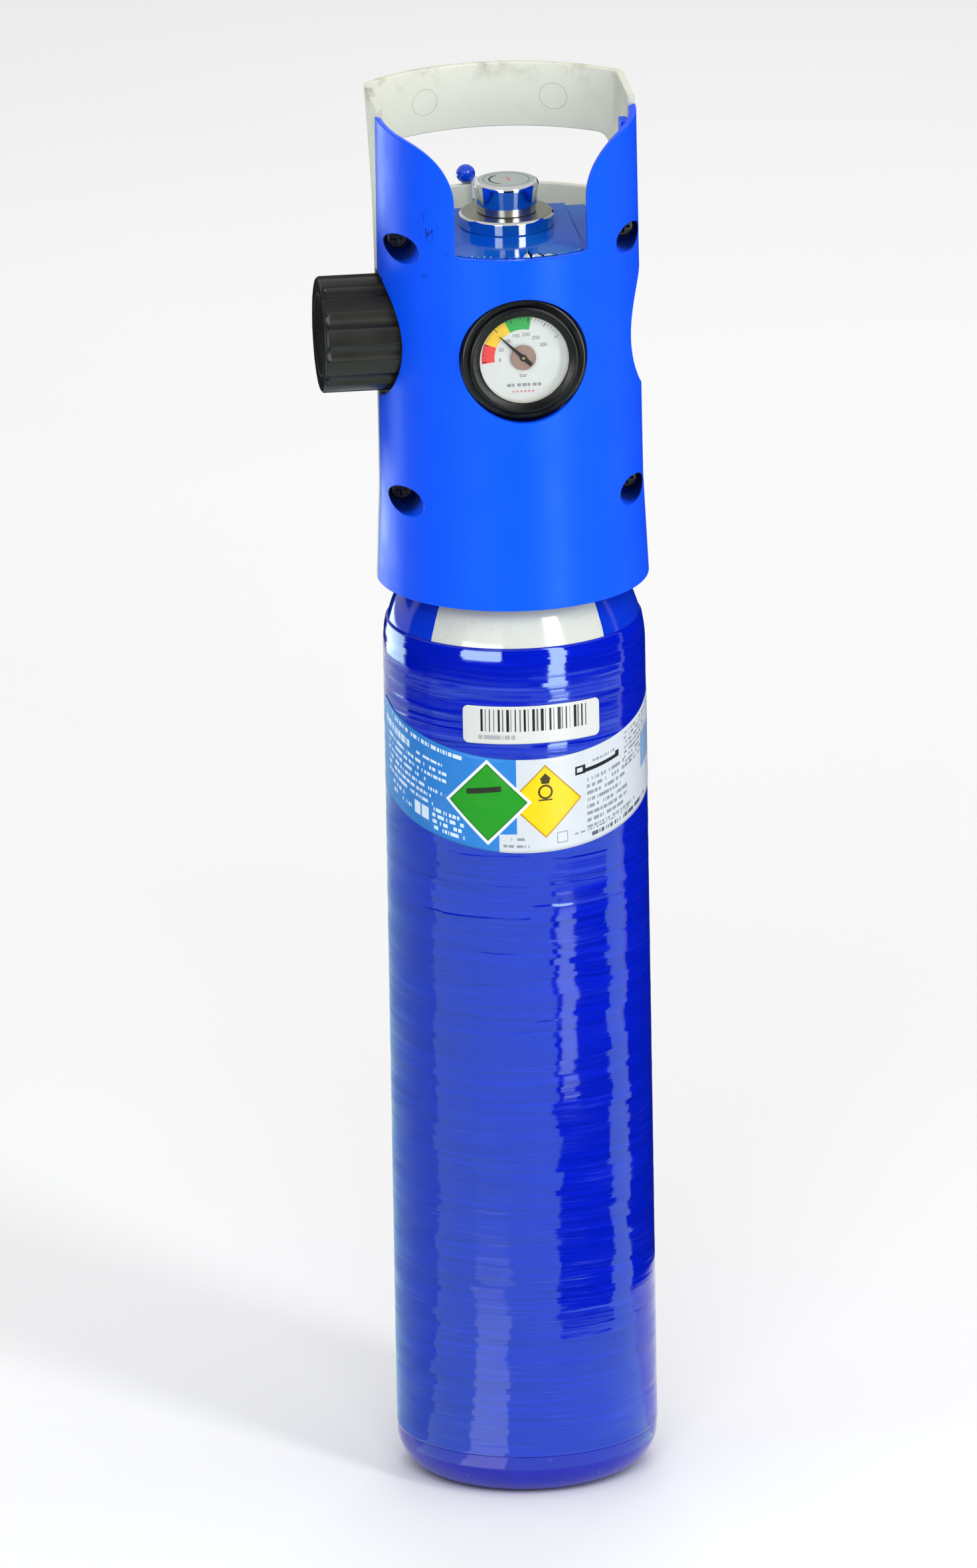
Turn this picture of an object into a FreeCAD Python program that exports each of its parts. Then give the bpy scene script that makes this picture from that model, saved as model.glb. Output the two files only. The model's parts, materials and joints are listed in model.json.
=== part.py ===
import FreeCAD, Part
import math
import os

# Portable medical gas cylinder with an integral valve, a split guard with a carry handle, a content gauge,
# a side handwheel and a capped quick-connect outlet.
#
# Units are millimetres. The origin is the centre of the base, +Z is up, the gauge faces -Y, the handwheel
# faces -X and the filling port faces +X. Each sub-part is written to parts/NODE.step.

V = FreeCAD.Vector
UP = V(0, 0, 1)

# ---------------------------------------------------------------- driving dimensions
BODY_R = 50.0                      # outside of the wound body
TOTAL_H = 542.0
GUARD_H = 186.0
CORNER_R = 15.0                    # radius round the base
DOME_Z = 328.5                     # centre of the shoulder dome
WRAP_TOP_Z = 340.2                 # where the winding ends on the dome
WRAP_BOTTOM_Z = 17.0
WRAP_T = 3.2
NECK_TOP_Z = 384.0
PORT_Z = 454.0                     # height of the gauge, handwheel and filling port
PLATE_Z = 494.0                    # polished top of the valve
SEAM = 0.15                        # half the gap between the guard's two shells
SLIP = 0.02                        # gap between faces that only touch

# cylinder
LINER_R = BODY_R - WRAP_T
LINER_BASE_R = BODY_R - 0.3
LINER_DOME_R = BODY_R - 0.6
CAVITY_R = 43.5
CAVITY_FLOOR_Z = 8.0
CAVITY_CORNER_R = 12.0
NECK_R = 19.0
NECK_BORE_R = 12.0
LABEL_T = 0.08
LABEL_GAP = 0.005

# guard
GUARD_TOP_Z = TOTAL_H
GUARD_BOTTOM_Z = TOTAL_H - GUARD_H
SKIRT_Z = GUARD_BOTTOM_Z + 38.0    # top of the flared skirt
SKIRT_R = 51.8
GUARD_R = 50.2                     # above the skirt
GUARD_TOP_R = 49.7
WALL = 2.8
HANDLE_BACK_Y = 57.0               # the rear shell is D-shaped at its top
HANDLE_BACK_R = 69.0
HANDLE_CORNER_R = 7.0
GRIP_BOTTOM_Z = 495.0              # the hand opening
GRIP_TOP_Z = 517.0
GRIP_HALF_W = 44.0
GRIP_CORNER_R = 4.0
WINDOW_HALF_W = 25.2               # front cut-out
WINDOW_BOTTOM_Z = PLATE_Z - 0.1
WINDOW_SHOULDER_R = 22.3
WINDOW_CORNER_R = 2.0
SIDE_HOLE_R = 24.0
GAUGE_HOLE_R = 24.3
BOSS_X = 43.0
BOSS_R = 6.5
BOSS_ZS = (394.0, 493.4)
WEB_Z = (389.3, 392.7)
WEB_HOLE_R = 17.3
SCREW_R = 2.0
SCREW_HEAD_R = 4.2
SCREW_HEAD_H = 2.6
SCREW_SEAT_Y = -7.0
SCREW_TIP_Y = 9.0
COUNTERBORE_R = 5.4
INSERT_R = 3.0
INSERT_Y = (0.5, 8.5)

# valve body
FLANGE_R = 20.0
BLOCK_HALF = 18.0
BLOCK_CORNER_R = 5.0
BLOCK_TOP_Z = 480.0
SHELF_HALF_W = 33.0
PAD_HALF_W = 25.4
PAD_H = 1.1
PLATE_FRONT_Y = -47.0
PLATE_BACK_Y = 24.5
PLATE_ROUND_R = 46.3
MAIN_PASSAGE_R = 2.5
STEM_BOTTOM_Z = 362.0
STEM_R = NECK_BORE_R - 0.05

# stop valve, measured outwards along -X
STOP_BORE_R = 8.0
STOP_SEAT = 6.5
STOP_FACE = 30.0
STOP_BOSS_R = 15.0
KNOB_R = 22.25
KNOB_START = 40.0
KNOB_END = 72.5
KNOB_FLUTES = 11
KNOB_PHASE = -12.3                 # where the first rib sits, from straight up
SPINDLE_R = 4.0
SQUARE = 5.6

# gauge, measured outwards along -Y
GAUGE_BOSS_R = 9.0
GAUGE_FACE = 24.0
CASE_R = 20.0
CASE_BACK = 26.0
CASE_FRONT = 44.5
CASE_T = 1.2
BEZEL_R = 21.4
BEZEL_FRONT = 48.5
DIAL_FRONT = 43.2
GEAR_MODULE = 0.3
PINION_TEETH = 10
SECTOR_TEETH = 54                  # teeth on the whole circle that the sector is cut from
TUBE_R = 14.4
TUBE_TIP = -37.0                   # where the curved tube starts and ends, anticlockwise from +X
TUBE_END = 235.0
SOCKET_ARC = 62.0
TAIL_R = 4.6
SECTOR_FIRST = -4                  # teeth of the sector either side of the line of centres
SECTOR_COUNT = 7
SLOT = (10.6, 14.1)                # slot of the link, measured from the tail pin
NEEDLE_ANGLE = 135.7               # needle direction at rest, anticlockwise from +X seen from the front

# filling port, measured outwards along +X
FILL_BORE_R = 7.0
FILL_FACE = 32.0
FILL_BOSS_R = 14.0
FILL_STUB_R = 8.0
FILL_END = 43.0

# relief, measured outwards along +Y
RELIEF_Z = 425.0
RELIEF_FACE = 22.0

# regulator and outlet on the vertical axis
CHAMBER_R = 15.0
CHAMBER_Z = 464.0
PISTON_Z = (475.0, 479.0)
SOCKET_Z = 481.0
OUTLET_RING_R = 18.1
OUTLET_RING_TOP_Z = 499.4
OUTLET_BORE_R = 9.8
CAP_TOP_Z = 511.6
CAP_R = 12.35


# ---------------------------------------------------------------- helpers
def box(x, y, z):
    """A box from three (low, high) pairs."""
    return Part.makeBox(x[1] - x[0], y[1] - y[0], z[1] - z[0], V(x[0], y[0], z[0]))


def rod(radius, low, high, x=0.0, y=0.0):
    """A cylinder along Z."""
    return Part.makeCylinder(radius, high - low, V(x, y, low))


def tube(outer, inner, low, high, x=0.0, y=0.0):
    return rod(outer, low, high, x, y).cut(rod(inner, low - 1, high + 1, x, y))


def hexagon(across_flats, low, high):
    radius = across_flats / math.sqrt(3)
    points = [V(radius * math.cos(math.radians(60 * i)), radius * math.sin(math.radians(60 * i)), low)
              for i in range(7)]
    return Part.Face(Part.makePolygon(points)).extrude(V(0, 0, high - low))


def ring_seal(major, minor, z):
    return Part.makeTorus(major, minor, V(0, 0, z), UP)


def outline(start, *steps):
    """A closed face in the XZ plane; a step is an end point, or the middle and end points of an arc."""
    edges = []
    here = V(start[0], 0, start[1])
    for step in steps:
        if isinstance(step[0], tuple):
            middle, end = (V(p[0], 0, p[1]) for p in step)
            edges.append(Part.Arc(here, middle, end).toShape())
        else:
            end = V(step[0], 0, step[1])
            edges.append(Part.makeLine(here, end))
        here = end
    first = V(start[0], 0, start[1])
    if here.distanceToPoint(first) > 1e-6:
        edges.append(Part.makeLine(here, first))
    return Part.Face(Part.Wire(edges))


def turned(start, *steps):
    """A solid of revolution about Z from an (r, z) outline."""
    return outline(start, *steps).revolve(V(0, 0, 0), UP, 360)


def on_circle(radius, degrees, centre=(0.0, 0.0)):
    a = math.radians(degrees)
    return (centre[0] + radius * math.cos(a), centre[1] + radius * math.sin(a))


def coil(radius, wire, low, high, turns):
    """A helical compression spring along Z, standing between two heights."""
    height = high - low - 2 * wire
    path = Part.makeHelix(height / turns, height, radius)
    section = Part.Wire(Part.makeCircle(wire, V(radius, 0, 0), V(0, 1, 0)))
    spring = Part.Wire(path).makePipeShell([section], True, True)
    spring.translate(V(0, 0, low + wire))
    return spring


def turned_to(shape, axis, degrees, base):
    placed = shape.copy()
    placed.rotate(V(0, 0, 0), axis, degrees)
    placed.translate(base)
    return placed


def leftwards(shape):
    """Local +Z becomes -X, through the port height."""
    return turned_to(shape, V(0, 1, 0), -90, V(0, 0, PORT_Z))


def rightwards(shape):
    """Local +Z becomes +X, through the port height."""
    return turned_to(shape, V(0, 1, 0), 90, V(0, 0, PORT_Z))


def forwards(shape):
    """Local +Z becomes -Y and local +Y becomes up, through the port height."""
    return turned_to(shape, V(1, 0, 0), 90, V(0, 0, PORT_Z))


def backwards(shape):
    """Local +Z becomes +Y, through the relief height."""
    return turned_to(shape, V(1, 0, 0), -90, V(0, 0, RELIEF_Z))


def joined(first, *others):
    return first.fuse(list(others)).removeSplitter()


def compound(shapes):
    return Part.makeCompound(list(shapes))


# ---------------------------------------------------------------- cylinder
def liner():
    """Seamless aluminium liner: flat base, recess for the winding, domed shoulder and threaded neck."""
    slope = LINER_BASE_R - LINER_R
    foot_r = LINER_BASE_R - CORNER_R
    shoulder_z = DOME_Z + 2.0
    shoulder_r = math.sqrt(LINER_DOME_R ** 2 - (shoulder_z - DOME_Z) ** 2)
    neck_z = DOME_Z + math.sqrt(LINER_DOME_R ** 2 - NECK_R ** 2)
    cavity_top_z = DOME_Z + math.sqrt(CAVITY_R ** 2 - NECK_BORE_R ** 2)
    cavity_foot_r = CAVITY_R - CAVITY_CORNER_R
    cavity_corner = (cavity_foot_r, CAVITY_FLOOR_Z + CAVITY_CORNER_R)
    return turned(
        (0, 0),
        (foot_r, 0),
        (on_circle(CORNER_R, -45, (foot_r, CORNER_R)), (LINER_BASE_R, CORNER_R)),
        (LINER_BASE_R, WRAP_BOTTOM_Z),
        (LINER_R, WRAP_BOTTOM_Z + slope),
        (LINER_R, DOME_Z - 8),
        (shoulder_r, shoulder_z),
        (on_circle(LINER_DOME_R, 40, (0, DOME_Z)), (NECK_R, neck_z)),
        (NECK_R, NECK_TOP_Z - 1),
        (NECK_R - 1, NECK_TOP_Z),
        (NECK_BORE_R + 3, NECK_TOP_Z),
        (NECK_BORE_R + 3, NECK_TOP_Z - 2.3),
        (NECK_BORE_R, NECK_TOP_Z - 2.3),
        (NECK_BORE_R, cavity_top_z),
        (on_circle(CAVITY_R, 40, (0, DOME_Z)), (CAVITY_R, DOME_Z)),
        (CAVITY_R, CAVITY_FLOOR_Z + CAVITY_CORNER_R),
        (on_circle(CAVITY_CORNER_R, -45, cavity_corner), (cavity_foot_r, CAVITY_FLOOR_Z)),
        (0, CAVITY_FLOOR_Z),
    )


def composite_wrap():
    """Hoop winding that fills the liner's recess and laps onto the dome."""
    slope = LINER_BASE_R - LINER_R
    lap_z = WRAP_TOP_Z - DOME_Z
    inner_r = LINER_DOME_R + SLIP
    shoulder_z = DOME_Z + 2.0
    shoulder_r = math.sqrt(inner_r ** 2 - 4.0)
    lap_angle = math.degrees(math.asin(lap_z / BODY_R))
    return turned(
        (BODY_R, WRAP_BOTTOM_Z + SLIP),
        (BODY_R, DOME_Z),
        (on_circle(BODY_R, lap_angle / 2, (0, DOME_Z)), (math.sqrt(BODY_R ** 2 - lap_z ** 2), WRAP_TOP_Z)),
        (math.sqrt(inner_r ** 2 - lap_z ** 2), WRAP_TOP_Z),
        (on_circle(inner_r, lap_angle / 2, (0, DOME_Z)), (shoulder_r, shoulder_z)),
        (LINER_R + SLIP, DOME_Z - 8),
        (LINER_R + SLIP, WRAP_BOTTOM_Z + slope + SLIP),
        (LINER_BASE_R + SLIP, WRAP_BOTTOM_Z + SLIP),
    )


def label_ring(low, high, start_degrees, end_degrees):
    """A thin sticker bent round the body. Angles are measured from the front, positive towards +X."""
    inner, outer = BODY_R + LABEL_GAP, BODY_R + LABEL_GAP + LABEL_T
    face = outline((inner, low), (outer, low), (outer, high), (inner, high))
    ring = face.revolve(V(0, 0, 0), UP, end_degrees - start_degrees)
    ring.rotate(V(0, 0, 0), UP, start_degrees - 90)
    return ring


def barcode_label():
    return label_ring(302.8, 317.9, -31, 33)


def contents_label():
    """A banner whose two long edges lie in planes that tip up towards the back."""
    tilt = 17.65
    low_z, high_z = 259.3, 296.6
    ring = label_ring(low_z - 5, high_z + 20, -88, 84)
    slab = box((-80, 80), (0, 160), (0, (high_z - low_z) * math.cos(math.radians(tilt))))
    slab.rotate(V(0, 0, 0), V(1, 0, 0), tilt)
    slab.translate(V(0, -BODY_R, low_z))
    return ring.common(slab)


def neck_o_ring():
    return ring_seal(13.4, 1.05, NECK_TOP_Z - 1.15)


def debris_tube():
    """Tube that keeps debris out of the valve, pressed into the bottom of its stem."""
    body = tube(3.5, 2.5, 324, 368)
    for z in (328, 334, 340):
        body = body.cut(turned_to(rod(0.8, -6, 6), V(0, 1, 0), 90, V(0, 0, z)))
    return body


# ---------------------------------------------------------------- valve body
def thread_profile(radius, low, high, pitch, depth):
    """(r, z) points of ridges up the outside of a stud."""
    points = []
    turns = int((high - low) / pitch)
    for i in range(turns):
        z = low + i * pitch
        points += [(radius - depth, z), (radius, z + pitch / 2)]
    return points + [(radius - depth, low + turns * pitch)]


def valve_body():
    stem = turned(
        (0, STEM_BOTTOM_Z),
        (STEM_R - 1.5, STEM_BOTTOM_Z),
        *thread_profile(STEM_R, STEM_BOTTOM_Z + 1.0, NECK_TOP_Z - 3.0, 2.0, 1.0),
        (STEM_R - 1.0, NECK_TOP_Z + SLIP),
        (FLANGE_R - 0.8, NECK_TOP_Z + SLIP),
        (FLANGE_R, NECK_TOP_Z + 0.8),
        (FLANGE_R, 388.2),
        (FLANGE_R - 0.8, 389),
        (17, 389),
        (17, 393),
        (0, 393),
    )
    block = box((-BLOCK_HALF, BLOCK_HALF), (-BLOCK_HALF, BLOCK_HALF), (393, BLOCK_TOP_Z))
    upright = [e for e in block.Edges if abs(e.tangentAt(e.FirstParameter).z) > 0.9]
    block = block.makeFillet(BLOCK_CORNER_R, upright)
    shelf = box((-SHELF_HALF_W, SHELF_HALF_W), (PLATE_FRONT_Y, PLATE_BACK_Y), (BLOCK_TOP_Z, PLATE_Z - PAD_H))
    pad = box((-PAD_HALF_W, PAD_HALF_W), (PLATE_FRONT_Y, PLATE_BACK_Y), (PLATE_Z - PAD_H, PLATE_Z))
    plate = joined(shelf, pad).common(rod(PLATE_ROUND_R, BLOCK_TOP_Z, PLATE_Z))
    rim = [e for e in plate.Edges if min(e.BoundBox.ZMin, e.BoundBox.ZMax) > PLATE_Z - 1e-6]
    plate = plate.makeFillet(0.7, rim)
    body = joined(
        stem,
        block,
        plate,
        leftwards(rod(STOP_BOSS_R, 10, STOP_FACE)),
        rightwards(rod(FILL_BOSS_R, 10, FILL_FACE)),
        forwards(rod(GAUGE_BOSS_R, 10, GAUGE_FACE)),
        backwards(rod(8, 10, RELIEF_FACE)),
    )
    holes = [
        rod(MAIN_PASSAGE_R, STEM_BOTTOM_Z - 1, PORT_Z),
        rod(3.5 + SLIP, STEM_BOTTOM_Z - 1, 368 + SLIP),
        leftwards(rod(STOP_BORE_R, STOP_SEAT, STOP_FACE + 1)),
        leftwards(rod(1.5, 0, STOP_SEAT + 1)),
        rightwards(rod(FILL_BORE_R, 8, FILL_FACE + 1)),
        rightwards(rod(1.5, 0, 9)),
        forwards(rod(4.8, 14, GAUGE_FACE + 1)),
        forwards(rod(1.0, 0, 15)),
        backwards(rod(5, 10, RELIEF_FACE + 1)),
        backwards(rod(1.0, 0, 11)),
        rod(CHAMBER_R, CHAMBER_Z, PLATE_Z + 1),
        rod(1.2, PORT_Z + 5, CHAMBER_Z + 1, x=-12),
    ]
    return body.cut(holes)


def relief_plug():
    plug = joined(rod(4.95, 10.4, RELIEF_FACE + 1), hexagon(14, RELIEF_FACE + SLIP, 28))
    plug = plug.cut([rod(1.5, 10, 26), turned_to(rod(0.9, -9, 9), V(0, 1, 0), 90, V(0, 0, 25))])
    return backwards(plug)


def burst_disc():
    return backwards(rod(4.9, 10.03, 10.35))


# ---------------------------------------------------------------- stop valve and handwheel
def valve_plug():
    body = rod(STOP_BORE_R - 0.12, 9.5, 18)
    slot = box((-1.5, 1.5), (-4.1, 4.1), (13, 19))
    pocket = rod(4.0, 9, 11)
    return leftwards(body.cut([slot, pocket]))


def seat_pad():
    return leftwards(rod(3.95, STOP_SEAT + 0.05, 10.97))


def spindle():
    tang = box((-1.4, 1.4), (-3.8, 3.8), (15, 20.5))
    collar = rod(6.2, 20.2, 22.5)
    shaft = rod(SPINDLE_R, 22.5, 44)
    square = box((-SQUARE / 2, SQUARE / 2), (-SQUARE / 2, SQUARE / 2), (44, 66))
    body = joined(tang, collar, shaft, square).cut(rod(1.65, 54, 67))
    return leftwards(body)


def gland_nut():
    nut = joined(rod(STOP_BORE_R - 0.05, 22.75, STOP_FACE + 1), hexagon(22, STOP_FACE + SLIP, 38))
    return leftwards(nut.cut([rod(SPINDLE_R + 0.05, 20, 40), rod(6.05, 25, 27.2)]))


def spindle_seal():
    return leftwards(ring_seal(5.08, 0.93, 26.1))


def handwheel():
    """Fluted plastic wheel: a cup with a hub, spokes and a recessed face."""
    body = turned(
        (8.5, 44),
        (8.5, 66),
        (19, 66),
        (19, KNOB_START + 0.6),
        (19.6, KNOB_START),
        (KNOB_R - 0.8, KNOB_START),
        (KNOB_R, KNOB_START + 0.8),
        (KNOB_R, KNOB_END - 1.4),
        (on_circle(1.4, 45, (KNOB_R - 1.4, KNOB_END - 1.4)), (KNOB_R - 1.4, KNOB_END)),
        (16.6, KNOB_END),
        (16, KNOB_END - 0.6),
        (16, 71.5),
        (5.2, 71.5),
        (5.2, 67.5),
        (1, 67.5),
        (1, 44),
    )
    spokes = [turned_to(box((8, 19.5), (-1, 1), (46, 66.5)), UP, 90 * i + 45, V(0, 0, 0)) for i in range(4)]
    body = joined(body, *spokes)
    half = SQUARE / 2 + 0.05
    cuts = [box((-half, half), (-half, half), (43, 66.3)), rod(2.2, 66, 68)]
    flute = rod(4.6, KNOB_START - 1, KNOB_END - 2.6).fuse(Part.makeSphere(4.6, V(0, 0, KNOB_END - 2.6)))
    for i in range(KNOB_FLUTES):
        x, y = on_circle(KNOB_R + 3.2, 360 / KNOB_FLUTES * (i + 0.5) + KNOB_PHASE)
        cuts.append(turned_to(flute, UP, 0, V(x, y, 0)))
    return leftwards(body.cut(cuts))


def handwheel_screw():
    head = turned((0, 67.52), (4.4, 67.52), (4.4, 69.4), ((3.4, 70.3), (1.6, 70.6)), (0, 70.6))
    drive = box((-2.6, 2.6), (-0.5, 0.5), (69.6, 71))
    return leftwards(joined(head, rod(1.6, 56, 67.6)).cut(drive))


def handwheel_cap():
    """Snap-in cover over the wheel's screw."""
    return leftwards(turned((0, 71.55), (15.9, 71.55), (15.9, 71.9), (15.4, 72.3), (0, 72.5)))


# ---------------------------------------------------------------- gauge
def gauge_socket():
    """Threaded socket, with the block that the tube is brazed into."""
    thread = turned((0, 14.2), *thread_profile(4.75, 14.4, 23.4, 1.0, 0.5), (4.2, 24.9), (0, 24.9))
    neck = rod(5.1, 25.5, 28)
    bar = box((-5, 5), (-13, 4), (27.6, 32))
    ring = outline((11.5, 27.6), (17.3, 27.6), (17.3, 32), (11.5, 32)).revolve(V(0, 0, 0), UP, SOCKET_ARC)
    ring.rotate(V(0, 0, 0), UP, TUBE_END + 0.1)
    body = joined(thread, hexagon(12, GAUGE_FACE + 0.85, CASE_BACK), neck, bar, ring)
    return forwards(body.cut(rod(0.9, 14, 30)))


def gauge_seal():
    return forwards(tube(7.0, 4.95, GAUGE_FACE + 0.02, GAUGE_FACE + 0.83))


def gauge_case():
    return forwards(turned(
        (5.2, CASE_BACK + 0.02),
        (CASE_R - 1, CASE_BACK + 0.02),
        (CASE_R, CASE_BACK + 1),
        (CASE_R, CASE_FRONT),
        (CASE_R - CASE_T, CASE_FRONT),
        (CASE_R - CASE_T, 27.5),
        (5.2, 27.5),
    ))


def gauge_bezel():
    """Black ring that holds the window and cushions the case."""
    return forwards(turned(
        (CASE_R + 0.05, 30),
        (BEZEL_R - 0.5, 30),
        (BEZEL_R, 30.5),
        (BEZEL_R, BEZEL_FRONT - 1.8),
        (on_circle(1.8, 45, (BEZEL_R - 1.8, BEZEL_FRONT - 1.8)), (BEZEL_R - 1.8, BEZEL_FRONT)),
        (17.5, BEZEL_FRONT - 0.7),
        (17.0, BEZEL_FRONT - 1.2),
        (17.0, BEZEL_FRONT - 1.6),
        (18.3, BEZEL_FRONT - 1.6),
        (18.3, CASE_FRONT + 0.1),
        (CASE_R + 0.05, CASE_FRONT + 0.1),
    ))


def gauge_boot():
    """Soft black ring that fills the gap between the bezel and the guard."""
    inner, outer, back, front = BEZEL_R + 0.05, GAUGE_HOLE_R - 0.2, 37.0, 46.6
    return forwards(turned(
        (inner, back),
        (outer, back),
        (outer, front - 1.4),
        (on_circle(1.4, 45, (outer - 1.4, front - 1.4)), (outer - 1.4, front)),
        (inner, front),
    ))


def gauge_window():
    return forwards(rod(18.25, 45.3, 46.85))


def gauge_spacer():
    """White ring between the dial and the window."""
    return forwards(tube(18.25, 16.7, DIAL_FRONT + 0.03, 45.27))


def gauge_dial():
    return forwards(tube(18.7, 1.3, DIAL_FRONT - 0.45, DIAL_FRONT))


def gear_outline(teeth, module, first, count, z):
    """Edges of `count` teeth of a gear centred on the origin, starting at tooth number `first`."""
    pitch_r = teeth * module / 2
    root, tip = pitch_r - 1.25 * module, pitch_r + 0.85 * module
    step = 360.0 / teeth
    points = []
    for i in range(first, first + count):
        middle = i * step
        for radius, offset in ((root, -0.30), (pitch_r, -0.21), (tip, -0.08), (tip, 0.08), (pitch_r, 0.21),
                               (root, 0.30)):
            x, y = on_circle(radius, middle + offset * step)
            points.append(V(x, y, z))
    return points


def gauge_pinion():
    """Spindle with ten teeth. The tooth space that meets the sector points down."""
    points = gear_outline(PINION_TEETH, GEAR_MODULE, 0, PINION_TEETH, 34.4)
    teeth = Part.Face(Part.makePolygon(points + points[:1])).extrude(V(0, 0, 2.6))
    teeth.rotate(V(0, 0, 0), UP, 270 + 180.0 / PINION_TEETH)
    return forwards(joined(rod(0.6, 32.9, 44.95), teeth))


def sector_pivot():
    return V(0, -(PINION_TEETH + SECTOR_TEETH) * GEAR_MODULE / 2, 0)


def gauge_sector():
    """Toothed sector with a tail for the link, swinging on its own arbor."""
    points = gear_outline(SECTOR_TEETH, GEAR_MODULE, SECTOR_FIRST, SECTOR_COUNT, 35.0)
    fan = Part.Face(Part.makePolygon([V(0, 0, 35.0)] + points + [V(0, 0, 35.0)])).extrude(V(0, 0, 1.0))
    fan.rotate(V(0, 0, 0), UP, 90)
    tail = box((-0.8, 0.8), (-TAIL_R, 0), (35.0, 36.0))
    eye = rod(1.1, 35.0, 36.0, y=-TAIL_R)
    pin = rod(0.45, 35.0, 37.3, y=-TAIL_R)
    body = joined(fan, rod(1.5, 34.6, 36.4), tail, eye, rod(0.6, 32.9, 39.7), pin)
    body.translate(sector_pivot())
    return forwards(body)


def tube_tip():
    x, y = on_circle(TUBE_R, TUBE_TIP)
    return V(x, y, 0)


def gauge_link():
    """Flat bar between the sector's tail and the tube's tip, slotted at the tip."""
    tail_pin = sector_pivot() + V(0, -TAIL_R, 0)
    tip = tube_tip()
    angle = math.degrees(math.atan2(tip.y - tail_pin.y, tip.x - tail_pin.x))
    near, far = SLOT
    low, high = 36.5, 36.9
    bar = joined(box((0, far), (-1.2, 1.2), (low, high)), rod(1.2, low, high), rod(1.2, low, high, x=far))
    slot = joined(box((near, far), (-0.63, 0.63), (low - 1, high + 1)),
                  rod(0.63, low - 1, high + 1, x=near), rod(0.63, low - 1, high + 1, x=far))
    bar = bar.cut([slot, rod(0.5, low - 1, high + 1)])
    bar.rotate(V(0, 0, 0), UP, angle)
    bar.translate(tail_pin)
    return forwards(bar)


def tube_section(half_height, half_width):
    centre = V(TUBE_R, 0, 30)
    curve = Part.Ellipse(centre + V(0, 0, half_height), centre + V(half_width, 0, 0), centre)
    return Part.Face(Part.Wire(curve.toShape()))


def bourdon_tube():
    """Flattened C-shaped tube, closed at its free tip, with a pin for the link."""
    outer, inner = tube_section(1.8, 0.9), tube_section(1.5, 0.6)
    hollow = outer.cut(inner).revolve(V(0, 0, 0), UP, TUBE_END - TUBE_TIP)
    hollow.rotate(V(0, 0, 0), UP, TUBE_TIP)
    cap = outer.revolve(V(0, 0, 0), UP, 4)
    cap.rotate(V(0, 0, 0), UP, TUBE_TIP - 4)
    tip = tube_tip()
    pin = rod(0.45, 30, 37.3, x=tip.x, y=tip.y)
    pad = rod(0.8, 31, 32.2, x=tip.x, y=tip.y)
    return forwards(joined(hollow, cap, pin, pad))


def movement_frame():
    """Two plates and three pillars that carry the pinion and the sector."""
    pivot = sector_pivot()
    pillars = [(7.2, 3.4), (-7.2, 3.4), (-7.2, -11.0)]
    corners = [(-8.6, 5), (8.6, 5), (8.6, -2), (1.6, -12.4), (-8.6, -12.4), (-8.6, 5)]
    plate = Part.Face(Part.makePolygon([V(x, y, 0) for x, y in corners])).extrude(V(0, 0, 0.6))
    back = plate.translated(V(0, 0, 33.0))
    front = plate.translated(V(0, 0, 39.0))
    posts = [rod(0.9, 33.2, 39.4, x=x, y=y) for x, y in pillars]
    feet = [rod(1.0, 32.0 + SLIP, 33.3, x=x, y=y) for x, y in ((-3.4, -8), (3.4, 1.5))]
    dial_posts = [rod(0.9, 39.4, DIAL_FRONT - 0.47, x=x, y=y) for x, y in pillars[:2]]
    frame = joined(back, front, *posts, *feet, *dial_posts)
    holes = [rod(0.65, 32, 41), rod(0.65, 32, 41, x=pivot.x, y=pivot.y)]
    return forwards(frame.cut(holes))


def hairspring():
    """Flat spiral of half circles struck from two centres."""
    step, half_thick, half_turns, z = 0.42, 0.06, 8, 37.6
    sides = []
    for offset in (half_thick, -half_thick):
        side = []
        for i in range(half_turns):
            centre = (step * (i % 2), 0.0)
            start = 180 * (i % 2)
            points = [V(*on_circle(0.78 + step * i + offset, start + a, centre), z) for a in (0, 90, 180)]
            side.append(Part.Arc(*points).toShape())
        sides.append(side)
    ends = [(sides[1][i].Vertexes[i].Point, sides[0][i].Vertexes[i].Point) for i in (0, -1)]
    edges = sides[0] + sides[1] + [Part.makeLine(a, b) for a, b in ends]
    face = Part.Face(Part.Wire(Part.__sortEdges__(edges)))
    return forwards(face.extrude(V(0, 0, 0.6)))


def gauge_needle():
    """Tapered pointer with a short tail."""
    z, thick = 44.45, 0.3
    points = [V(-4.2, -0.75, z), V(-4.2, 0.75, z), V(0, 0.75, z), V(12.6, 0.16, z), V(12.6, -0.16, z),
              V(0, -0.75, z), V(-4.2, -0.75, z)]
    blade = Part.Face(Part.makePolygon(points)).extrude(V(0, 0, thick))
    body = joined(blade, rod(1.3, z, z + 0.55)).cut(rod(0.6, z - 1, z + 1))
    body.rotate(V(0, 0, 0), UP, NEEDLE_ANGLE)
    return forwards(body)


def needle_hub():
    """Round balance plate under the pointer."""
    return forwards(tube(4.8, 0.6, 43.95, 44.43))


# ---------------------------------------------------------------- filling port
def fill_nipple():
    """Hexagon plug with the filling stub, closed inside by a sprung check valve."""
    body = turned(
        (5, 14.2),
        (FILL_BORE_R - 0.05, 14.2),
        (FILL_BORE_R - 0.05, FILL_FACE + SLIP),
        (FILL_STUB_R, FILL_FACE + SLIP),
        (FILL_STUB_R, FILL_END - 0.8),
        (FILL_STUB_R - 0.8, FILL_END),
        (3.8, FILL_END),
        (3, FILL_END - 0.8),
        (3, 20),
        (5, 20),
    )
    nut = hexagon(24, FILL_FACE + SLIP, 36).cut(rod(4, 30, 40))
    return rightwards(joined(body, nut))


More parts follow.
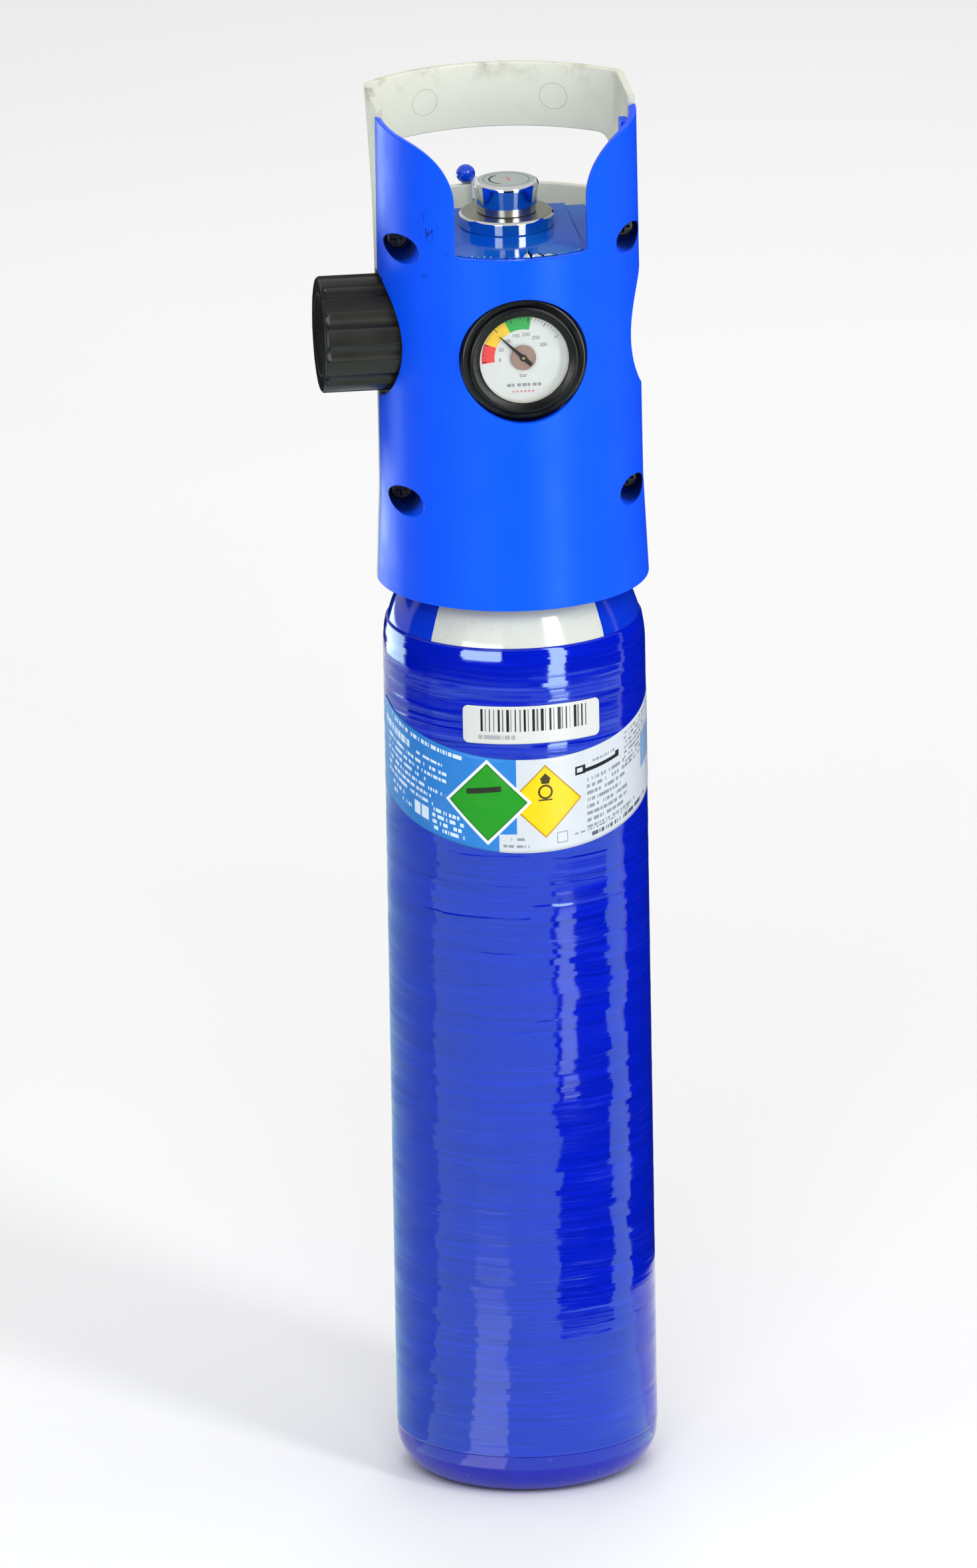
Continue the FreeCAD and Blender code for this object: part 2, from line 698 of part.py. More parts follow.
def fill_check_poppet():
    return rightwards(turned(
        (0, 11),
        (1.4, 11),
        (1.4, 16.4),
        (4.2, 16.4),
        (4.2, 19.2),
        (3.5, 19.95),
        (0, 19.95),
    ))


def fill_check_spring():
    return rightwards(coil(3.0, 0.4, 8.1, 16.3, 5))


# ---------------------------------------------------------------- regulator and outlet
def regulator_seat():
    return tube(4.2, 1.3, CHAMBER_Z + SLIP, CHAMBER_Z + 2)


def regulator_piston():
    low, high = PISTON_Z
    return turned(
        (0.9, CHAMBER_Z + 2.05),
        (2.2, CHAMBER_Z + 2.05),
        (3, CHAMBER_Z + 3),
        (3, low),
        (14.85, low),
        (14.85, low + 1),
        (13.2, low + 1),
        (13.2, high - 1),
        (14.85, high - 1),
        (14.85, high),
        (2.4, high),
        (2.4, high - 2),
        (0.9, high - 2),
    )


def piston_seal():
    return ring_seal(14.02, 0.78, sum(PISTON_Z) / 2)


def regulator_spring():
    return coil(8.6, 0.8, CHAMBER_Z + 0.1, PISTON_Z[0] - 0.1, 4)


def outlet_socket():
    body = turned(
        (2.1, SOCKET_Z),
        (CHAMBER_R - 0.1, SOCKET_Z),
        (CHAMBER_R - 0.1, PLATE_Z + SLIP),
        (OUTLET_RING_R - 0.3, PLATE_Z + SLIP),
        (OUTLET_RING_R, PLATE_Z + 0.3),
        (OUTLET_RING_R, OUTLET_RING_TOP_Z - 0.9),
        (OUTLET_RING_R - 0.9, OUTLET_RING_TOP_Z),
        (OUTLET_BORE_R + 0.6, OUTLET_RING_TOP_Z),
        (OUTLET_BORE_R, OUTLET_RING_TOP_Z - 0.6),
        (OUTLET_BORE_R, SOCKET_Z + 2),
        (2.1, SOCKET_Z + 2),
    )
    ports = [rod(1.0, SOCKET_Z - 1, SOCKET_Z + 3, *on_circle(6.6, 90 * i + 45)) for i in range(4)]
    return body.cut(ports)


def outlet_seat():
    return tube(OUTLET_BORE_R - 0.05, 4.0, 490.05, 492)


def outlet_poppet():
    return turned(
        (0, 482),
        (1.9, 482),
        (1.9, 488),
        (7, 488),
        (7, 489.4),
        (6.4, 490),
        (3.4, 490),
        (2.2, 491.6),
        (0, 491.6),
    )


def outlet_spring():
    return coil(4.4, 0.45, SOCKET_Z + 2.05, 487.95, 3)


def outlet_cap():
    """Chrome dust cap that plugs the outlet."""
    plug_r, groove_r = OUTLET_BORE_R - 0.2, 8.4
    return turned(
        (0, 492.6),
        (plug_r - 0.8, 492.6),
        (plug_r, 493.4),
        (plug_r, 495),
        (groove_r, 495),
        (groove_r, 496.6),
        (plug_r, 496.6),
        (plug_r, OUTLET_RING_TOP_Z + SLIP),
        (11.0, OUTLET_RING_TOP_Z + SLIP),
        (11.3, OUTLET_RING_TOP_Z + 0.4),
        (CAP_R, CAP_TOP_Z - 1.9),
        ((CAP_R - 0.45, CAP_TOP_Z - 0.55), (CAP_R - 1.5, CAP_TOP_Z)),
        (10.6, CAP_TOP_Z),
        (10.6, CAP_TOP_Z - 0.5),
        (0, CAP_TOP_Z - 0.5),
    )


def outlet_cap_seal():
    return ring_seal(9.1, 0.63, 495.8)


def outlet_cap_face():
    return rod(10.5, CAP_TOP_Z - 0.48, CAP_TOP_Z - 0.02)


# ---------------------------------------------------------------- guard
def guard_radius(z):
    """Outside radius of the round part of the guard at a height."""
    if z <= SKIRT_Z:
        share = (z - GUARD_BOTTOM_Z) / (SKIRT_Z - GUARD_BOTTOM_Z)
        return SKIRT_R + share * (GUARD_R - SKIRT_R)
    share = (z - SKIRT_Z) / (GUARD_TOP_Z - SKIRT_Z)
    return GUARD_R + share * (GUARD_TOP_R - GUARD_R)


def round_solid(inset):
    """The whole turned envelope of the guard, shrunk by inset."""
    low, high = (GUARD_BOTTOM_Z, GUARD_TOP_Z) if inset == 0 else (GUARD_BOTTOM_Z - 1, GUARD_TOP_Z + 1)
    return turned(
        (0, low),
        (SKIRT_R - inset, low),
        (GUARD_R - inset, SKIRT_Z),
        (GUARD_TOP_R - inset, high),
        (0, high),
    )


def d_section(inset, z):
    """Closed wire of the rear half at the guard's top: straight sides, tight corners and a shallow back."""
    side, back_r, corner_r = GUARD_TOP_R - inset, HANDLE_BACK_R - inset, HANDLE_CORNER_R - inset
    centre_y = HANDLE_BACK_Y - HANDLE_BACK_R
    corner_x = side - corner_r
    corner_y = centre_y + math.sqrt((back_r - corner_r) ** 2 - corner_x ** 2)
    end_angle = math.degrees(math.atan2(corner_y - centre_y, corner_x))
    back_end = on_circle(back_r, end_angle, (0, centre_y))
    corner_mid = on_circle(corner_r, end_angle / 2, (corner_x, corner_y))
    right = [V(side, 0, z), V(side, corner_y, z), V(*corner_mid, z), V(*back_end, z)]
    left = [V(-p.x, p.y, z) for p in right]
    return Part.Wire([
        Part.makeLine(left[0], right[0]),
        Part.makeLine(right[0], right[1]),
        Part.Arc(right[1], right[2], right[3]).toShape(),
        Part.Arc(right[3], V(0, centre_y + back_r, z), left[3]).toShape(),
        Part.Arc(left[3], left[2], left[1]).toShape(),
        Part.makeLine(left[1], left[0]),
    ]), [math.degrees(math.atan2(p.y, p.x)) for p in (right[1], right[3])]


def half_round_section(inset, z, breaks):
    """The rear half circle, split at the same places as the D section."""
    radius = GUARD_R - inset
    angles = [0, breaks[0], breaks[1], 180 - breaks[1], 180 - breaks[0], 180]
    edges = [Part.makeLine(V(-radius, 0, z), V(radius, 0, z))]
    for a, b in zip(angles, angles[1:]):
        points = [V(*on_circle(radius, t, (0, 0)), z) for t in (a, (a + b) / 2.0, b)]
        edges.append(Part.Arc(*points).toShape())
    return Part.Wire(edges)


def rear_solid(inset):
    """The rear half of the envelope: round at the skirt, changing to a D at the top."""
    extra = 0 if inset == 0 else 1
    top, breaks = d_section(inset, GUARD_TOP_Z + extra)
    upper = Part.makeLoft([half_round_section(inset, SKIRT_Z, breaks), top], True, True)
    lower = round_solid(inset).common(box((-60, 60), (0, 60), (GUARD_BOTTOM_Z - 2, SKIRT_Z)))
    return lower.fuse(upper)


def side_holes():
    return [rightwards(rod(SIDE_HOLE_R, 35, 60)), leftwards(rod(SIDE_HOLE_R, 35, 60))]


def web(front):
    """Half disc that grips the groove under the valve block."""
    sign = -1 if front else 1
    ys = sorted((sign * SEAM, sign * 60))
    disc = rod(49, *WEB_Z).common(box((-60, 60), ys, WEB_Z))
    return disc.cut(rod(WEB_HOLE_R, WEB_Z[0] - 1, WEB_Z[1] + 1))


def along_y(radius, low, high, x, z):
    return Part.makeCylinder(radius, high - low, V(x, low, z), V(0, 1, 0))


def boss_places():
    return [(x, z) for z in BOSS_ZS for x in (-BOSS_X, BOSS_X)]


def front_window():
    """Prism of the front cut-out: straight sides that sweep out into rounded shoulders."""
    shoulder_x = WINDOW_HALF_W + WINDOW_SHOULDER_R
    shoulder_z = GUARD_TOP_Z - 27.0
    lip_angle = 99.0
    lip = on_circle(WINDOW_SHOULDER_R, lip_angle, (shoulder_x, shoulder_z))
    middle = on_circle(WINDOW_SHOULDER_R, (180 + lip_angle) / 2, (shoulder_x, shoulder_z))
    corner = (WINDOW_HALF_W - WINDOW_CORNER_R, WINDOW_BOTTOM_Z + WINDOW_CORNER_R)
    right = [
        (WINDOW_HALF_W, WINDOW_BOTTOM_Z + WINDOW_CORNER_R),
        (WINDOW_HALF_W, shoulder_z),
        (middle, lip),
        (54, GUARD_TOP_Z - 1.2),
        (54, GUARD_TOP_Z + 9),
    ]
    left = [
        (-54, GUARD_TOP_Z + 9),
        (-54, GUARD_TOP_Z - 1.2),
        (-lip[0], lip[1]),
        ((-middle[0], middle[1]), (-WINDOW_HALF_W, shoulder_z)),
        (-WINDOW_HALF_W, WINDOW_BOTTOM_Z + WINDOW_CORNER_R),
        (on_circle(WINDOW_CORNER_R, 225, (-corner[0], corner[1])), (-corner[0], WINDOW_BOTTOM_Z)),
    ]
    face = outline(
        (-corner[0], WINDOW_BOTTOM_Z),
        (corner[0], WINDOW_BOTTOM_Z),
        (on_circle(WINDOW_CORNER_R, -45, corner), right[0]),
        *right[1:],
        *left,
    )
    return face.extrude(V(0, -60, 0))


def latch_tongues():
    """Two tongues inside the top corners that locate the rear shell."""
    tongues = []
    for side in (-1, 1):
        for inner, outer, back in ((43.6, 46.7, 4), (43.6, 48.0, -SEAM)):
            tongues.append(box(sorted((side * inner, side * outer)), (-4, back), (527, 533)))
    return tongues


def guard_front():
    """Front shell: half round, flared at the skirt, with the front cut-out and the gauge hole."""
    front_half = box((-60, 60), (-60, -SEAM), (GUARD_BOTTOM_Z - 2, GUARD_TOP_Z + 2))
    outer = round_solid(0).common(front_half)
    shell = outer.cut(round_solid(WALL))
    bosses = [along_y(BOSS_R, -40, -SEAM, x, z) for x, z in boss_places()]
    bosses = [b.common(outer) for b in bosses]
    shell = joined(shell, web(True), *bosses, *latch_tongues())
    cuts = side_holes() + [front_window(), forwards(rod(GAUGE_HOLE_R, 30, 60))]
    for x, z in boss_places():
        cuts.append(along_y(COUNTERBORE_R, -60, SCREW_SEAT_Y, x, z))
        cuts.append(along_y(SCREW_R + 0.2, -60, 1, x, z))
    return shell.cut(cuts)


def grip_opening():
    w, r = GRIP_HALF_W, GRIP_CORNER_R
    low, high = GRIP_BOTTOM_Z, GRIP_TOP_Z
    face = outline(
        (-w + r, low),
        (w - r, low),
        (on_circle(r, -45, (w - r, low + r)), (w, low + r)),
        (w, high - r),
        (on_circle(r, 45, (w - r, high - r)), (w - r, high)),
        (-w + r, high),
        (on_circle(r, 135, (-w + r, high - r)), (-w, high - r)),
        (-w, low + r),
        (on_circle(r, 225, (-w + r, low + r)), (-w + r, low)),
    )
    return face.extrude(V(0, 80, 0)).cut(box((-60, 60), (-1, 30), (400, 560)))


def guard_rear():
    """Rear shell: D-shaped at the top, where the hand opening leaves the carry handle."""
    rear_half = box((-60, 60), (SEAM, 60), (GUARD_BOTTOM_Z - 2, GUARD_TOP_Z + 2))
    outer = rear_solid(0).common(rear_half)
    shell = outer.cut(rear_solid(WALL))
    bosses = [along_y(BOSS_R, SEAM, 14, x, z).common(outer) for x, z in boss_places()]
    shell = joined(shell, web(False), *bosses)
    cuts = side_holes() + [grip_opening()]
    for x, z in boss_places():
        cuts.append(along_y(INSERT_R + SLIP, -1, INSERT_Y[1] + 0.3, x, z))
        cuts.append(along_y(SCREW_R + 0.2, 0, 11, x, z))
    return shell.cut(cuts)


def guard_screws():
    screws = []
    for x, z in boss_places():
        head = along_y(SCREW_HEAD_R, SCREW_SEAT_Y - SCREW_HEAD_H, SCREW_SEAT_Y - SLIP, x, z)
        rim = [e for e in head.Edges if abs(e.BoundBox.YMin - (SCREW_SEAT_Y - SCREW_HEAD_H)) < 1e-6
               and abs(e.BoundBox.YMax - (SCREW_SEAT_Y - SCREW_HEAD_H)) < 1e-6]
        head = head.makeFillet(0.9, rim)
        slots = [box((x - 2.4, x + 2.4), (SCREW_SEAT_Y - 3, SCREW_SEAT_Y - 1.3), (z - 0.45, z + 0.45)),
                 box((x - 0.45, x + 0.45), (SCREW_SEAT_Y - 3, SCREW_SEAT_Y - 1.3), (z - 2.4, z + 2.4))]
        shank = along_y(SCREW_R, SCREW_SEAT_Y - 0.5, SCREW_TIP_Y, x, z)
        screws.append(joined(head, shank).cut(slots))
    return compound(screws)


def guard_inserts():
    inserts = []
    for x, z in boss_places():
        sleeve = along_y(INSERT_R, *INSERT_Y, x, z)
        inserts.append(sleeve.cut(along_y(SCREW_R + 0.03, -1, 10, x, z)))
    return compound(inserts)


# ---------------------------------------------------------------- seal on the handle opening
def seal_place():
    return V(-8.3, 53.0, GRIP_BOTTOM_Z)


def seal_clip():
    """Small spring clip over the sill of the hand opening, with a peg for the bead."""
    at = seal_place()
    width = (at.x + 1.2, at.x + 4.2)
    outer = box(width, (at.y - 4.2, at.y + 4.6), (at.z - 5, at.z + 1.4))
    slot = box((width[0] - 1, width[1] + 1), (at.y - 3.2, at.y + 3.6), (at.z - 6, at.z + 0.1))
    peg = Part.makeCylinder(0.8, 3.4, V(at.x - 2, at.y, at.z + 0.95), V(1, 0, 0))
    return joined(outer.cut(slot), peg)


def seal_bead():
    at = seal_place()
    ball = Part.makeSphere(3.65, V(at.x - 0.6, at.y, at.z + 3.9))
    ball = ball.cut(box((at.x - 8, at.x + 8), (at.y - 8, at.y + 8), (at.z - 2, at.z + 0.3)))
    return ball.cut(seal_clip_space())


def seal_clip_space():
    at = seal_place()
    peg = Part.makeCylinder(0.85, 4.5, V(at.x - 3, at.y, at.z + 0.95), V(1, 0, 0))
    return joined(peg, box((at.x + 1.15, at.x + 6), (at.y - 5, at.y + 5), (at.z - 6, at.z + 1.45)))


SUB_PARTS = [
    liner, composite_wrap, contents_label, barcode_label, neck_o_ring, debris_tube,
    valve_body, relief_plug, burst_disc,
    valve_plug, seat_pad, spindle, gland_nut, spindle_seal, handwheel, handwheel_screw, handwheel_cap,
    gauge_socket, gauge_seal, gauge_case, gauge_bezel, gauge_boot, gauge_window, gauge_spacer, gauge_dial,
    gauge_pinion, gauge_sector, gauge_link, bourdon_tube, movement_frame, hairspring,
    gauge_needle, needle_hub,
    fill_nipple, fill_check_poppet, fill_check_spring,
    regulator_seat, regulator_piston, piston_seal, regulator_spring,
    outlet_socket, outlet_seat, outlet_poppet, outlet_spring, outlet_cap, outlet_cap_seal, outlet_cap_face,
    guard_front, guard_rear, guard_screws, guard_inserts, seal_clip, seal_bead,
]


def main():
    os.makedirs("parts", exist_ok=True)
    for make in SUB_PARTS:
        shape = make()
        shape.exportStep("parts/" + make.__name__ + ".step")
        print(make.__name__, len(shape.Solids), shape.isValid(), round(shape.Volume, 1))


main()
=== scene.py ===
import json
import math
import random

import bmesh
import bpy
import numpy as np
from mathutils import Matrix, Vector, noise


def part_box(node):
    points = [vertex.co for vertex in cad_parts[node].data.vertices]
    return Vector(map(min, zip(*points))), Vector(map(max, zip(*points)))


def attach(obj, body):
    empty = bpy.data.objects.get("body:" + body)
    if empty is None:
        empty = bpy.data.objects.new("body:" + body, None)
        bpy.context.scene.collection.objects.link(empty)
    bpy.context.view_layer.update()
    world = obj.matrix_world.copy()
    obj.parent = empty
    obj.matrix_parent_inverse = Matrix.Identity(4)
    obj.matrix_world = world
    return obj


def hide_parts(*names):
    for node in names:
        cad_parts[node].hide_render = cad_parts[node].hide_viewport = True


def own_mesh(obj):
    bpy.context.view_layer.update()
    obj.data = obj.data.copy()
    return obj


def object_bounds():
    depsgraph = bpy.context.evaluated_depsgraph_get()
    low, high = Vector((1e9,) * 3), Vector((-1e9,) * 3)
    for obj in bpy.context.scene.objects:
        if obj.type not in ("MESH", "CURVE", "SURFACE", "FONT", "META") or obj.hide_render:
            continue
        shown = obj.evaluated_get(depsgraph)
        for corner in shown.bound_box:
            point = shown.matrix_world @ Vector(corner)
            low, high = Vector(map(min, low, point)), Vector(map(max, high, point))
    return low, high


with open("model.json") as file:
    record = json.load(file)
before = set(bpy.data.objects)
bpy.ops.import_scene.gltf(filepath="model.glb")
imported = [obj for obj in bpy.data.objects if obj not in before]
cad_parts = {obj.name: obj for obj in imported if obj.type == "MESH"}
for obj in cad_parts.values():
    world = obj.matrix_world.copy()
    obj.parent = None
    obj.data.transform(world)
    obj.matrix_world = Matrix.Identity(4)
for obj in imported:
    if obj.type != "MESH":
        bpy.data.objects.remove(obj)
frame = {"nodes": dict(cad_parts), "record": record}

# Looks of a portable medical gas cylinder, built round its CAD frame. The cylinder's axis is Z, the gauge
# faces -Y and the handwheel -X. Everything is in metres, except what a name ending in mm says.

MM = 0.001
CAD_LOW, CAD_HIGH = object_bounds()
RECORD = frame["record"]
BODY_OF = {node: body for body, nodes in RECORD["behaviour"]["bodies"].items() for node in nodes}
SLOT_OF = {part["node"]: part["material_slot"] for part in RECORD["subparts"]}
random.seed(7)

# Landmarks on the object, in metres unless the name says millimetres.
BODY_RADIUS = 0.05
LINER_FOOT_TOP_Z = 0.1
SHOULDER_FROM_Z = 0.3
GUARD_SEAM_Y = 0.0006
SCREW_HEAD_X, SCREW_ROWS_Z, SCREW_HOLE_R = 0.043, (0.394, 0.4934), 0.0057
EJECTOR_MARK_X, EJECTOR_MARK_Z, EJECTOR_MARK_R = 0.0247, 0.5294, 0.005
VALVE_TOP_Z = (0.4791, 0.49401)
OUTLET_RING_TOP_Z = (0.49925, 0.4997)
WINDING_PITCH = 0.0048
DOME_START_MM = 328.5
BANNER_LOW_MM, BANNER_HIGH_MM, BANNER_RISE = 259.4, 296.5, 0.3185
BARCODE_LOW_MM, BARCODE_HIGH_MM = 302.9, 317.8
DIAMOND_Z_MM, GREEN_U_MM, YELLOW_U_MM = 279.6, -17.4, 4.9


# ---------------------------------------------------------------- node materials
def linear(red, green, blue):
    """Scene colour from 8-bit display values."""
    def channel(value):
        value /= 255
        return value / 12.92 if value <= 0.04045 else ((value + 0.055) / 1.055) ** 2.4
    return (channel(red), channel(green), channel(blue), 1.0)


def scaled(colour, factor):
    return tuple(min(1.0, c * factor) for c in colour[:3]) + (1.0,)


class Shader:
    """A node material round one principled surface."""

    def __init__(self, name):
        self.material = bpy.data.materials.new(name)
        self.material.use_nodes = True
        self.tree = self.material.node_tree
        self.surface = self.tree.nodes["Principled BSDF"]
        coordinates = self.add("ShaderNodeTexCoord")
        self.place = coordinates.outputs["Object"]
        self.uv = coordinates.outputs["UV"]

    def add(self, kind, inputs=(), **settings):
        node = self.tree.nodes.new(kind)
        for key, value in settings.items():
            setattr(node, key, value)
        for key, value in dict(inputs).items():
            self.feed(node.inputs[key], value)
        return node

    def fed(self, name):
        """What feeds an input of the surface now."""
        return self.surface.inputs[name].links[0].from_socket

    def feed(self, socket, value):
        if isinstance(value, bpy.types.NodeSocket):
            self.tree.links.new(value, socket)
        else:
            socket.default_value = value

    def set(self, **inputs):
        for key, value in inputs.items():
            self.feed(self.surface.inputs[key.replace("_", " ")], value)
        return self

    def calc(self, operation, *values):
        node = self.add("ShaderNodeMath", operation=operation)
        for socket, value in zip(node.inputs, values):
            self.feed(socket, value)
        return node.outputs[0]

    def total(self, *values):
        out = values[0]
        for value in values[1:]:
            out = self.calc("ADD", out, value)
        return out

    def all_of(self, *masks):
        out = masks[0]
        for mask in masks[1:]:
            out = self.calc("MULTIPLY", out, mask)
        return out

    def any_of(self, *masks):
        out = masks[0]
        for mask in masks[1:]:
            out = self.calc("MAXIMUM", out, mask)
        return out

    def opposite(self, mask):
        return self.calc("SUBTRACT", 1.0, mask)

    def between(self, value, low, high):
        return self.all_of(self.calc("GREATER_THAN", value, low), self.calc("LESS_THAN", value, high))

    def ramp(self, value, low, high, start=0.0, end=1.0):
        node = self.add("ShaderNodeMapRange", {0: value, 1: low, 2: high, 3: start, 4: end})
        node.clamp = True
        return node.outputs[0]

    def distance(self, place, centre):
        node = self.add("ShaderNodeVectorMath", {0: place, 1: centre}, operation="DISTANCE")
        return node.outputs["Value"]

    def axes(self, source=None):
        node = self.add("ShaderNodeSeparateXYZ", {0: source or self.place})
        return node.outputs[0], node.outputs[1], node.outputs[2]

    def vector(self, x, y, z=0.0):
        return self.add("ShaderNodeCombineXYZ", {0: x, 1: y, 2: z}).outputs[0]

    def stretched(self, stretch, source=None):
        node = self.add("ShaderNodeVectorMath", {0: source or self.place, 1: stretch}, operation="MULTIPLY")
        return node.outputs[0]

    def cloud(self, scale, detail=3.0, stretch=(1, 1, 1), source=None, rough=0.5):
        place = self.stretched(stretch, source)
        return self.add("ShaderNodeTexNoise", {"Vector": place, "Scale": scale, "Detail": detail,
                                               "Roughness": rough}).outputs[0]

    def dice(self, place):
        return self.add("ShaderNodeTexWhiteNoise", {"Vector": place}, noise_dimensions="3D").outputs[0]

    def mix(self, factor, first, second):
        node = self.add("ShaderNodeMix", data_type="RGBA")
        for index, value in ((0, factor), (6, first), (7, second)):
            self.feed(node.inputs[index], value)
        return node.outputs[2]

    def bump(self, height, distance_mm, strength=1.0):
        node = self.add("ShaderNodeBump", {"Height": height, "Distance": distance_mm * MM,
                                           "Strength": strength})
        chained = self.surface.inputs["Normal"]
        if chained.is_linked:
            self.feed(node.inputs["Normal"], chained.links[0].from_socket)
        self.feed(chained, node.outputs[0])

    def blend_output(self, share, first, second):
        """Send a mix of two shaders to the material's output."""
        both = self.add("ShaderNodeMixShader", {0: share, 1: first.outputs[0], 2: second.outputs[0]})
        output = next(n for n in self.tree.nodes if n.type == "OUTPUT_MATERIAL")
        self.feed(output.inputs["Surface"], both.outputs[0])

    def lean(self, around, upward):
        """Tilt the shading normal round the cylinder's axis and upwards, both in radians."""
        normal = self.add("ShaderNodeNewGeometry").outputs["Normal"]
        x, y, _ = self.axes(normal)
        aside = self.vector(self.calc("MULTIPLY", y, self.calc("MULTIPLY", around, -1.0)),
                            self.calc("MULTIPLY", x, around), upward)
        both = self.add("ShaderNodeVectorMath", {0: normal, 1: aside}, operation="ADD").outputs[0]
        self.feed(self.surface.inputs["Normal"],
                  self.add("ShaderNodeVectorMath", {0: both}, operation="NORMALIZE").outputs[0])

    def scratches(self, scale, amount):
        """Sparse fine lines, 0 to amount."""
        place = self.add("ShaderNodeMapping", {"Vector": self.place, "Rotation": (0.4, 1.1, 0.7),
                                               "Scale": (1.0, 14.0, 1.0)}).outputs[0]
        lines = self.add("ShaderNodeTexNoise", {"Vector": place, "Scale": scale, "Detail": 2.0}).outputs[0]
        patches = self.ramp(self.cloud(scale * 0.4, 2.0), 0.5, 0.7)
        return self.calc("MULTIPLY", self.all_of(self.ramp(lines, 0.66, 0.72), patches), amount)


def plastic(name, colour, rough, grain_mm=0.02, grain_scale=2200, mottle=0.06, coat=0.0, scuff=0.3,
            shine=0.5):
    """Moulded plastic: a fine grain, uneven gloss and a few scuffs."""
    s = Shader(name)
    tone = s.cloud(28, 4.0)
    shade = s.mix(tone, scaled(colour, 1 - mottle), scaled(colour, 1 + mottle))
    marks = s.scratches(90, scuff)
    s.set(Base_Color=s.mix(marks, shade, scaled(colour, 1.35)),
          Roughness=s.total(s.ramp(s.cloud(60, 4.0), 0.3, 0.7, rough - 0.05, rough + 0.07), marks),
          Coat_Weight=coat, Coat_Roughness=0.12, Specular_IOR_Level=shine)
    s.bump(s.cloud(grain_scale, 2.0), grain_mm)
    s.bump(s.cloud(70, 2.0), 0.05, 0.35)
    return s


def metal(name, colour, rough, brush=(1, 1, 12), brush_scale=900, wear=0.25, depth_mm=0.006, stain=None):
    """Bare or plated metal: directional machining marks, smudges and fine scratches."""
    s = Shader(name)
    smudge = s.cloud(45, 5.0, rough=0.6)
    tint = stain or scaled(colour, 0.72)
    s.set(Metallic=1.0,
          Base_Color=s.mix(s.ramp(smudge, 0.45, 0.75), colour, s.mix(wear, colour, tint)),
          Roughness=s.total(s.ramp(smudge, 0.35, 0.7, rough, rough * 1.8 + 0.02), s.scratches(160, 0.12)))
    s.bump(s.cloud(brush_scale, 3.0, stretch=brush), depth_mm)
    return s


def rubber(name, colour, rough):
    s = Shader(name)
    s.set(Specular_IOR_Level=0.3,
          Base_Color=s.mix(s.cloud(120, 5.0), scaled(colour, 0.8), scaled(colour, 1.5)),
          Roughness=s.ramp(s.cloud(90, 3.0), 0.3, 0.7, rough - 0.08, rough + 0.08))
    s.bump(s.cloud(1800, 3.0), 0.015)
    return s


BLUE_GUARD = (0.001, 0.080, 0.90, 1.0)
BLUE_PAINT = (0.002, 0.032, 0.56, 1.0)
BLUE_WOUND = (0.0005, 0.008, 0.42, 1.0)
CREAM = linear(214, 217, 199)
WHITE_PAINT = linear(198, 203, 195)


def guard_blue():
    """Bright blue moulding, with painted shade darkening the screw counterbores and scuffs beside the upper
    left screw.
    """
    s = plastic("guard_blue", BLUE_GUARD, 0.36, grain_mm=0.012, grain_scale=1900, mottle=0.05, scuff=0.12,
                shine=0.18)
    x, y, z = s.axes()
    # Painted shade: inside each screw counterbore the blue is darkened towards navy, as if little light
    # reaches there.
    painted_hole_shade = 0.0
    for side in (-1, 1):
        for height in SCREW_ROWS_Z:
            gap = s.distance(s.vector(x, 0.0, z), (side * SCREW_HEAD_X, 0.0, height))
            inside = s.all_of(s.calc("LESS_THAN", gap, SCREW_HOLE_R), s.ramp(y, -0.027, -0.019))
            painted_hole_shade = s.any_of(painted_hole_shade, inside)
    s.set(Base_Color=s.mix(s.calc("MULTIPLY", painted_hole_shade, 0.82), s.fed("Base Color"), linear(0, 8, 40)),
          Specular_Tint=(0.25, 0.5, 1.0, 1.0))
    scuffs = (((-0.034, -0.036, 0.505), 0.0075, 0.85), ((-0.029, -0.04, 0.497), 0.004, 0.6),
              ((-0.036, -0.035, 0.486), 0.003, 0.45))
    for centre, radius, depth in scuffs:
        streaks = s.ramp(s.cloud(520, 3.0, stretch=(1, 1, 0.35), rough=0.7), 0.56, 0.64)
        mark = s.all_of(s.ramp(s.distance(s.place, centre), radius * 0.3, radius, 1.0, 0.0), streaks)
        s.set(Base_Color=s.mix(s.calc("MULTIPLY", mark, depth), s.fed("Base Color"), linear(12, 20, 60)))
    return s.material


def guard_cream():
    """Off-white moulding with handling dirt near its edges, faint ejector rings inside the handle, and
    painted shade darkening the cut face along its seam.
    """
    s = plastic("guard_cream", CREAM, 0.48, grain_mm=0.012, grain_scale=1900, mottle=0.03, scuff=0.1)
    x, y, z = s.axes()
    dirt = s.ramp(s.cloud(75, 6.0, rough=0.65), 0.5, 0.72)
    near_top = s.ramp(z, 0.5335, 0.5425, 0.0, 0.75)
    near_seam = s.all_of(s.ramp(y, 0.0, 0.009, 0.8, 0.0), s.calc("GREATER_THAN", z, 0.49))
    speck = s.ramp(s.cloud(430, 2.0), 0.7, 0.76, 0.0, 0.5)
    general = s.total(s.calc("MULTIPLY", dirt, 0.10), s.all_of(speck, dirt))
    grime = s.any_of(s.all_of(dirt, near_top), s.all_of(dirt, near_seam), general)
    for side in (-1, 1):
        gap = s.distance(s.vector(x, 0.0, z), (side * EJECTOR_MARK_X, 0.0, EJECTOR_MARK_Z))
        from_line = s.calc("ABSOLUTE", s.calc("SUBTRACT", gap, EJECTOR_MARK_R))
        ring = s.all_of(s.ramp(from_line, 0.0001, 0.0004, 1.0, 0.0), s.calc("GREATER_THAN", y, 0.03))
        s.bump(ring, 0.12, 0.8)
        grime = s.any_of(grime, s.calc("MULTIPLY", ring, 0.18))
    # Painted shade: the cut face at the seam, below GUARD_SEAM_Y, is darkened so that it reads as shaded.
    colour = s.mix(s.calc("LESS_THAN", y, GUARD_SEAM_Y), s.fed("Base Color"), scaled(CREAM, 0.72))
    s.set(Base_Color=s.mix(grime, colour, linear(120, 104, 84)))
    return s.material


